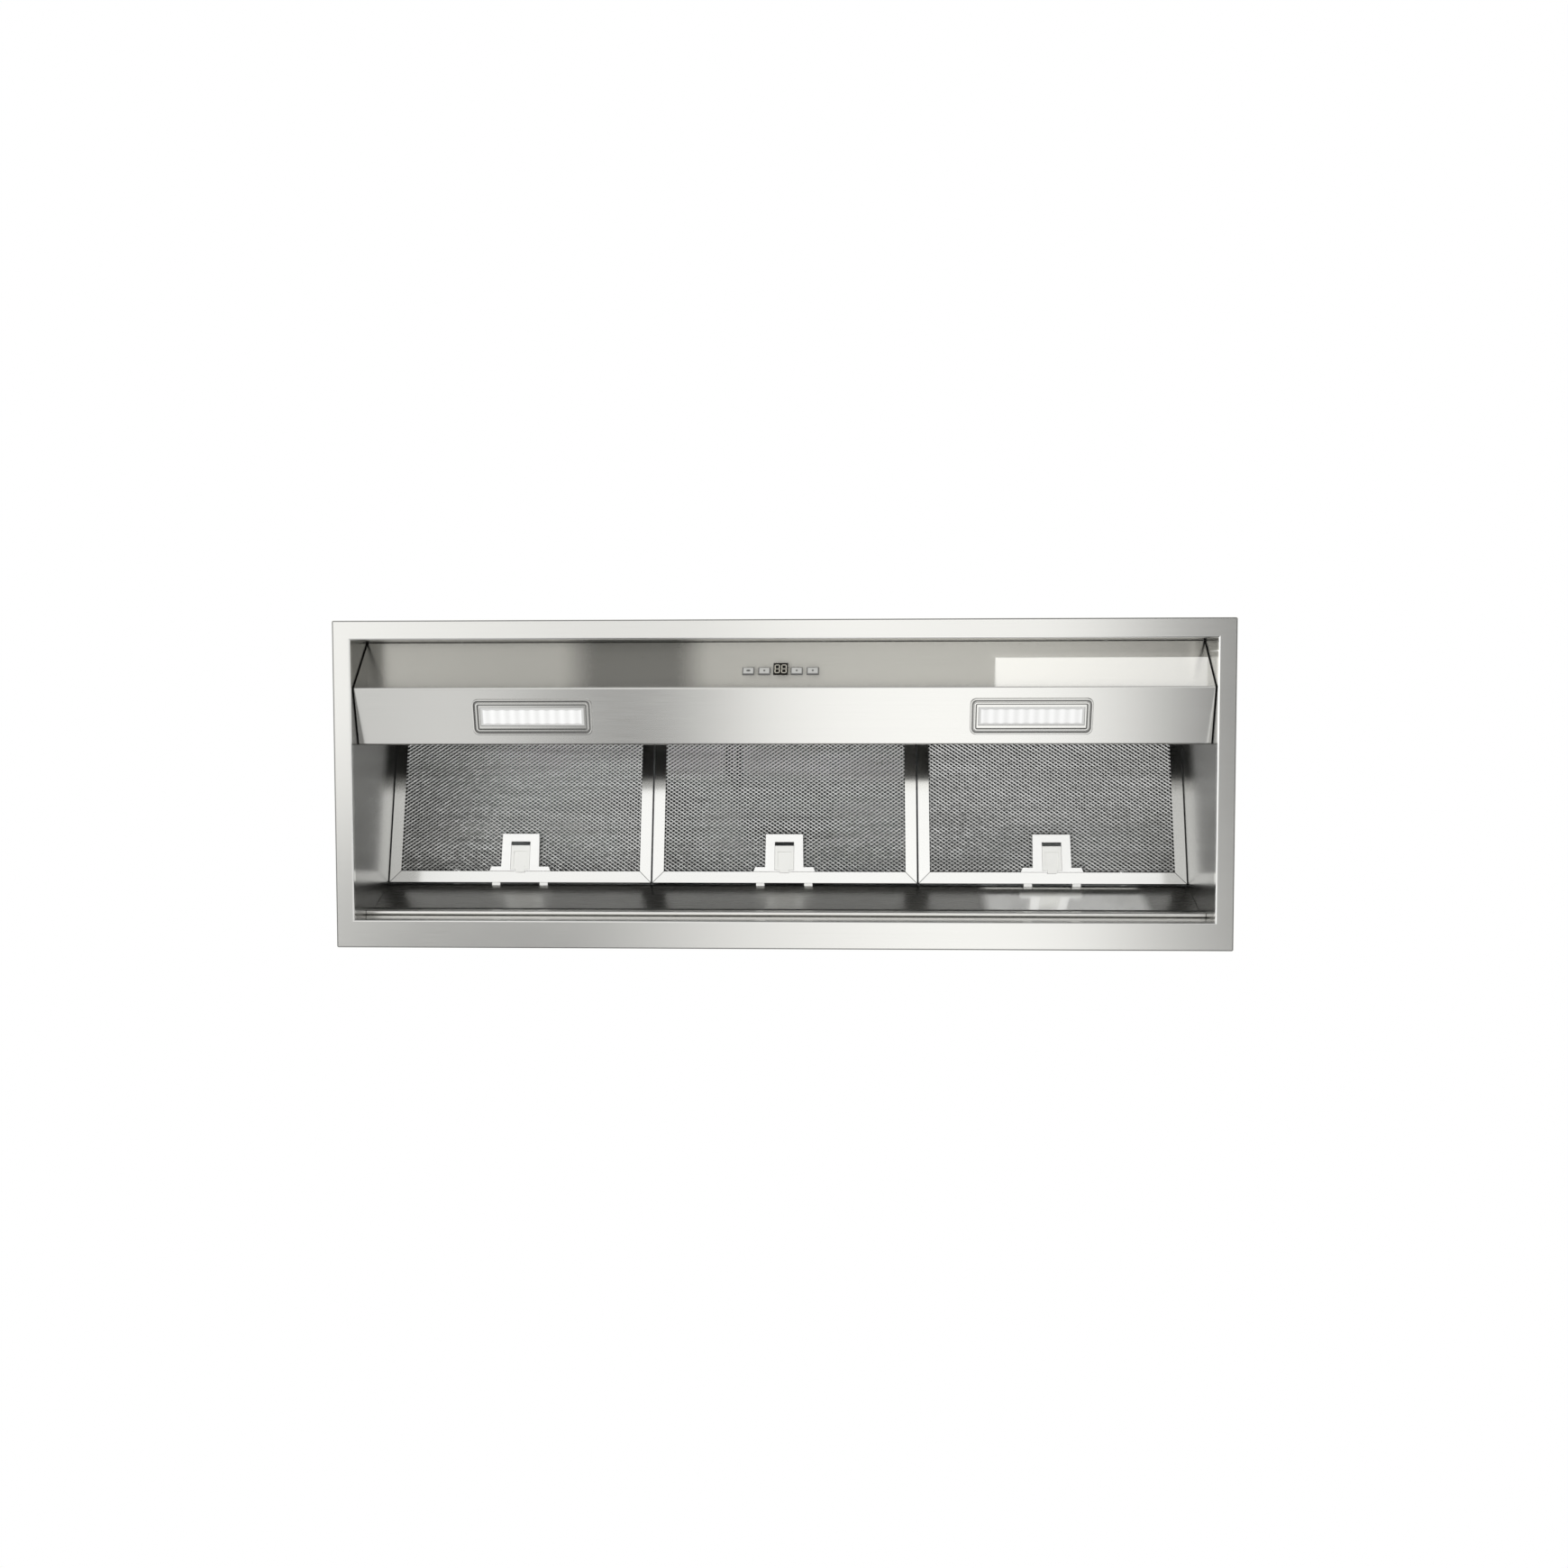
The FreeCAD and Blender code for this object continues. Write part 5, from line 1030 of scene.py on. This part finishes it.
def direct(nodes):
    """1 for rays that come from the camera, through glass or off polished metal."""
    return (nodes.add("LightPath", out="Is Camera Ray")
            .most(nodes.add("LightPath", out="Is Glossy Ray"))
            .most(nodes.add("LightPath", out="Is Transmission Ray")))


def facing_from(place, target):
    """How a light at a place is turned to shine at a point."""
    return (Vector(target) - Vector(place)).to_track_quat("-Z", "Y").to_euler()


class HOOD_OT_stage(bpy.types.Operator):
    """Set the pale floor round the flange, the soft studio light and the camera below"""
    bl_idname = "hood.stage"
    bl_label = "Stage"

    def camera(self, context):
        """The camera below the mouth, almost square to the flange. Its focal length is written for
        a picture 1740 pixels wide."""
        picture, focal, sensor = 1740, 1600, 36
        data = bpy.data.cameras.new("camera_below")
        camera = bpy.data.objects.new("camera_below", data)
        context.scene.collection.objects.link(camera)
        data.sensor_width = sensor
        data.lens = focal / picture * sensor
        data.clip_start, data.clip_end = 0.05, 50
        turn = (Matrix.Rotation(math.radians(0.015), 3, "Z")
                @ Matrix.Rotation(math.radians(2.12), 3, "Y")
                @ Matrix.Rotation(math.radians(2.818), 3, "X"))
        aim = turn.transposed() @ Matrix.Diagonal((1, -1, -1))
        camera.matrix_world = Matrix.Translation((0.0574, -0.0718, -1.4365)) @ aim.to_4x4()
        context.scene.camera = camera

    def floor(self, context):
        """A wide pale sheet level with the flange, open where the hood is."""
        stage = context.scene.hood_stage
        span = stage.floor_span / 2
        wide = CAD_BOX[1][0] + stage.floor_gap
        deep = CAD_BOX[1][1] + stage.floor_gap
        height, margin = 0.0005, 0.01
        clear_selection()
        bpy.ops.mesh.primitive_plane_add(size=2, location=(0, 0, height))
        floor = settle("floor")
        pick(floor, lambda face: True)
        bpy.ops.transform.resize(value=(wide, deep, 1))
        bpy.ops.mesh.extrude_region_move()
        bpy.ops.transform.resize(value=(span / wide, span / deep, 1))
        close_edit()
        pick(floor, lambda face: len({abs(c.co.x) > wide + margin for c in face.verts}) == 1)
        bpy.ops.mesh.delete(type="ONLY_FACE")
        close_edit()
        if floor.data.polygons[0].normal.z < 0:
            floor.data.flip_normals()
        self.floor_finish(tuple(stage.floor_colour))
        coat("pale_floor", "floor")

    def floor_finish(self, colour):
        """Matt and pale; plain white from below, and far off, where the floor would end."""
        finish = Finish("pale_floor", Roughness=0.9)
        x, y, _ = finish.point
        mottle = finish.grit(3, detail=3)
        finish.set(Base_Color=finish.shaded(mottle, colour, 0.985, 1))
        below = finish.add("NewGeometry", out="Backfacing")
        far = ((x ** 2 + y ** 2) ** 0.5).over(4.0, 5.0)
        blend = finish.add("MixShader", i0=below.most(far) * direct(finish),
                           i1=finish.shader.outputs[0], i2=finish.add("Emission"))
        feed(finish.tree, finish.tree.nodes["Material Output"].inputs[0], blend)

    def row(self, sky, across, *levels):
        """One soft band of the backdrop, as brightness stops from left to right. Its ramp is given
        half the brightness, to stay below 1, and the result is doubled."""
        stops = [(at + 0.5, (level / 2,) * 3) for at, level in levels]
        return sky.add("ValToRGB", {"stops": stops}, i0=across + 0.5) * 2

    def backdrop(self, sky):
        """What polished metal sees of the studio: pale bands below and soft boxes above."""
        x, y, z = sky.split(sky.add("TexCoord", out="Generated"))
        # Below the hood: three rows one behind the other, and past them it grows darker
        near = self.row(sky, x, (-0.5, 1.35), (-0.33, 1.16), (-0.2, 1.0), (-0.12, 0.90), (0.0, 1.25),
                        (0.09, 1.12), (0.16, 1.3), (0.19, 1.1), (0.225, 0.35), (0.3, 0.20),
                        (0.37, 0.25), (0.5, 0.80))
        mid = self.row(sky, x, (-0.5, 1.2), (-0.36, 0.75), (-0.30, 0.40), (-0.17, 0.38), (-0.08, 0.95),
                       (0.06, 1.25), (0.17, 1.25), (0.22, 0.60), (0.3, 0.25), (0.37, 0.30), (0.5, 0.80))
        far = self.row(sky, x, (-0.5, 1.1), (-0.33, 0.60), (-0.25, 0.92), (-0.20, 0.60), (-0.14, 0.18),
                       (-0.09, 0.66), (-0.04, 1.2), (0.10, 1.3), (0.18, 1.2), (0.22, 0.60),
                       (0.27, 0.05), (0.37, 0.10), (0.5, 0.7))
        share, beyond = y.over(0.07, 0.10), y.over(0.30, 0.14)
        below = (near * (1 - share) + mid * share) * (1 - beyond) + far * beyond
        below = below * (1 - y.over(0.66, 0.2) * 0.65)
        # Before the hood: one even field, darker at its left, and shaded where it nears the horizon
        front = (-y).over(0.30, 0.2)
        below = below * (1 - front) + front * (1.06 - (-x).over(0.28, 0.08) * 0.42)
        below = below * (1 - (-y).over(0.55, 0.20) * (0.30 + (x + y * 0.4).over(-0.45, 0.5) * 0.35))
        # Above the hood: grey, with a soft box at the front left and a weak strip at the right
        box = (x * -0.5 + y * -0.55 + z * 0.67).over(0.82, 0.12)
        strip = (x * 0.75 + y * 0.35 + z * 0.56).over(0.88, 0.08)
        above = 0.42 + 0.30 * z.over(0.5, 1.0) + box * 0.45 + strip * 0.3
        lower = (-z).over(0.0, 0.08)
        return lower * below + (1 - lower) * above

    def studio(self, context):
        """The world: white to the camera, the backdrop to polished metal, and even light else."""
        world = bpy.data.worlds.new("studio")
        context.scene.world = world
        world.use_nodes = True
        sky = Nodes(world.node_tree)
        seen = direct(sky)
        glossy = sky.add("LightPath", out="Is Glossy Ray")
        even = (1 - seen) * context.scene.hood_stage.light_level
        background = sky.tree.nodes["Background"]
        feed(sky.tree, background.inputs["Strength"],
             seen * (1 - glossy) + glossy * self.backdrop(sky) + even)
        background.inputs["Color"].default_value = (1, 1, 0.985, 1)

    def area_light(self, name, place, turn, power, wide, deep):
        """A square or oblong area light, with its power in watts."""
        bpy.ops.object.light_add(type="AREA", location=place)
        light = bpy.context.object
        light.name = light.data.name = name
        light.data.shape = "SQUARE" if wide == deep else "RECTANGLE"
        light.data.size, light.data.size_y = wide, deep
        light.data.energy = power
        light.rotation_euler = turn
        return light

    def lights(self, context):
        """Two soft lights, and a card inside the mouth that lights part of the control face."""
        stage = context.scene.hood_stage
        above_left, below, inside = (-2.2, -2.4, 3.0), (-0.5, -1.0, -2.6), (0.3250, -0.1335, 0.0200)
        self.area_light("soft_key", above_left, facing_from(above_left, (0, 0, 0.15)),
                        stage.key_power, wide=3.6, deep=3.6)
        fill = self.area_light("soft_fill", below, facing_from(below, (0, 0, 0.1)),
                               stage.fill_power, wide=2.0, deep=2.0)
        fill.visible_glossy = fill.visible_camera = False
        card = self.area_light("front_card", inside, (math.radians(90), 0, 0), power=0.0127,
                               wide=0.2140, deep=0.032)
        card.visible_camera = False

    def execute(self, context):
        self.camera(context)
        self.floor(context)
        self.studio(context)
        self.lights(context)
        context.scene.view_settings.view_transform = "Standard"
        return {"FINISHED"}


class HOOD_PT_panel(bpy.types.Panel):
    """The steps, in order, with the sizes they read"""
    bl_label = "Range hood insert"
    bl_idname = "HOOD_PT_panel"
    bl_space_type = "VIEW_3D"
    bl_region_type = "UI"
    bl_category = "Hood"

    def draw(self, context):
        for name in ("hood_stage", "hood_mesh", "hood_colours"):
            box = self.layout.box()
            group = getattr(context.scene, name)
            for prop in group.__annotations__:
                box.prop(group, prop)
        for step in STEPS:
            self.layout.operator(step.bl_idname)


STEPS = (HOOD_OT_stage, HOOD_OT_sheet_finishes, HOOD_OT_filter_packs, HOOD_OT_latches,
         HOOD_OT_lamps, HOOD_OT_controls, HOOD_OT_blower, HOOD_OT_fixings,
         HOOD_OT_wiring_box)
GROUPS = {"hood_stage": HoodStage, "hood_mesh": HoodMesh, "hood_colours": HoodColours}


def register():
    for group in (*GROUPS.values(), *STEPS, HOOD_PT_panel):
        bpy.utils.register_class(group)
    for name, group in GROUPS.items():
        setattr(bpy.types.Scene, name, bpy.props.PointerProperty(type=group))


def unregister():
    for name in GROUPS:
        delattr(bpy.types.Scene, name)
    for group in (HOOD_PT_panel, *reversed(STEPS), *GROUPS.values()):
        bpy.utils.unregister_class(group)


def main():
    register()
    for step in STEPS:
        area, name = step.bl_idname.split(".")
        getattr(getattr(bpy.ops, area), name)()
    clear_selection()


if __name__ == "__main__":
    main()
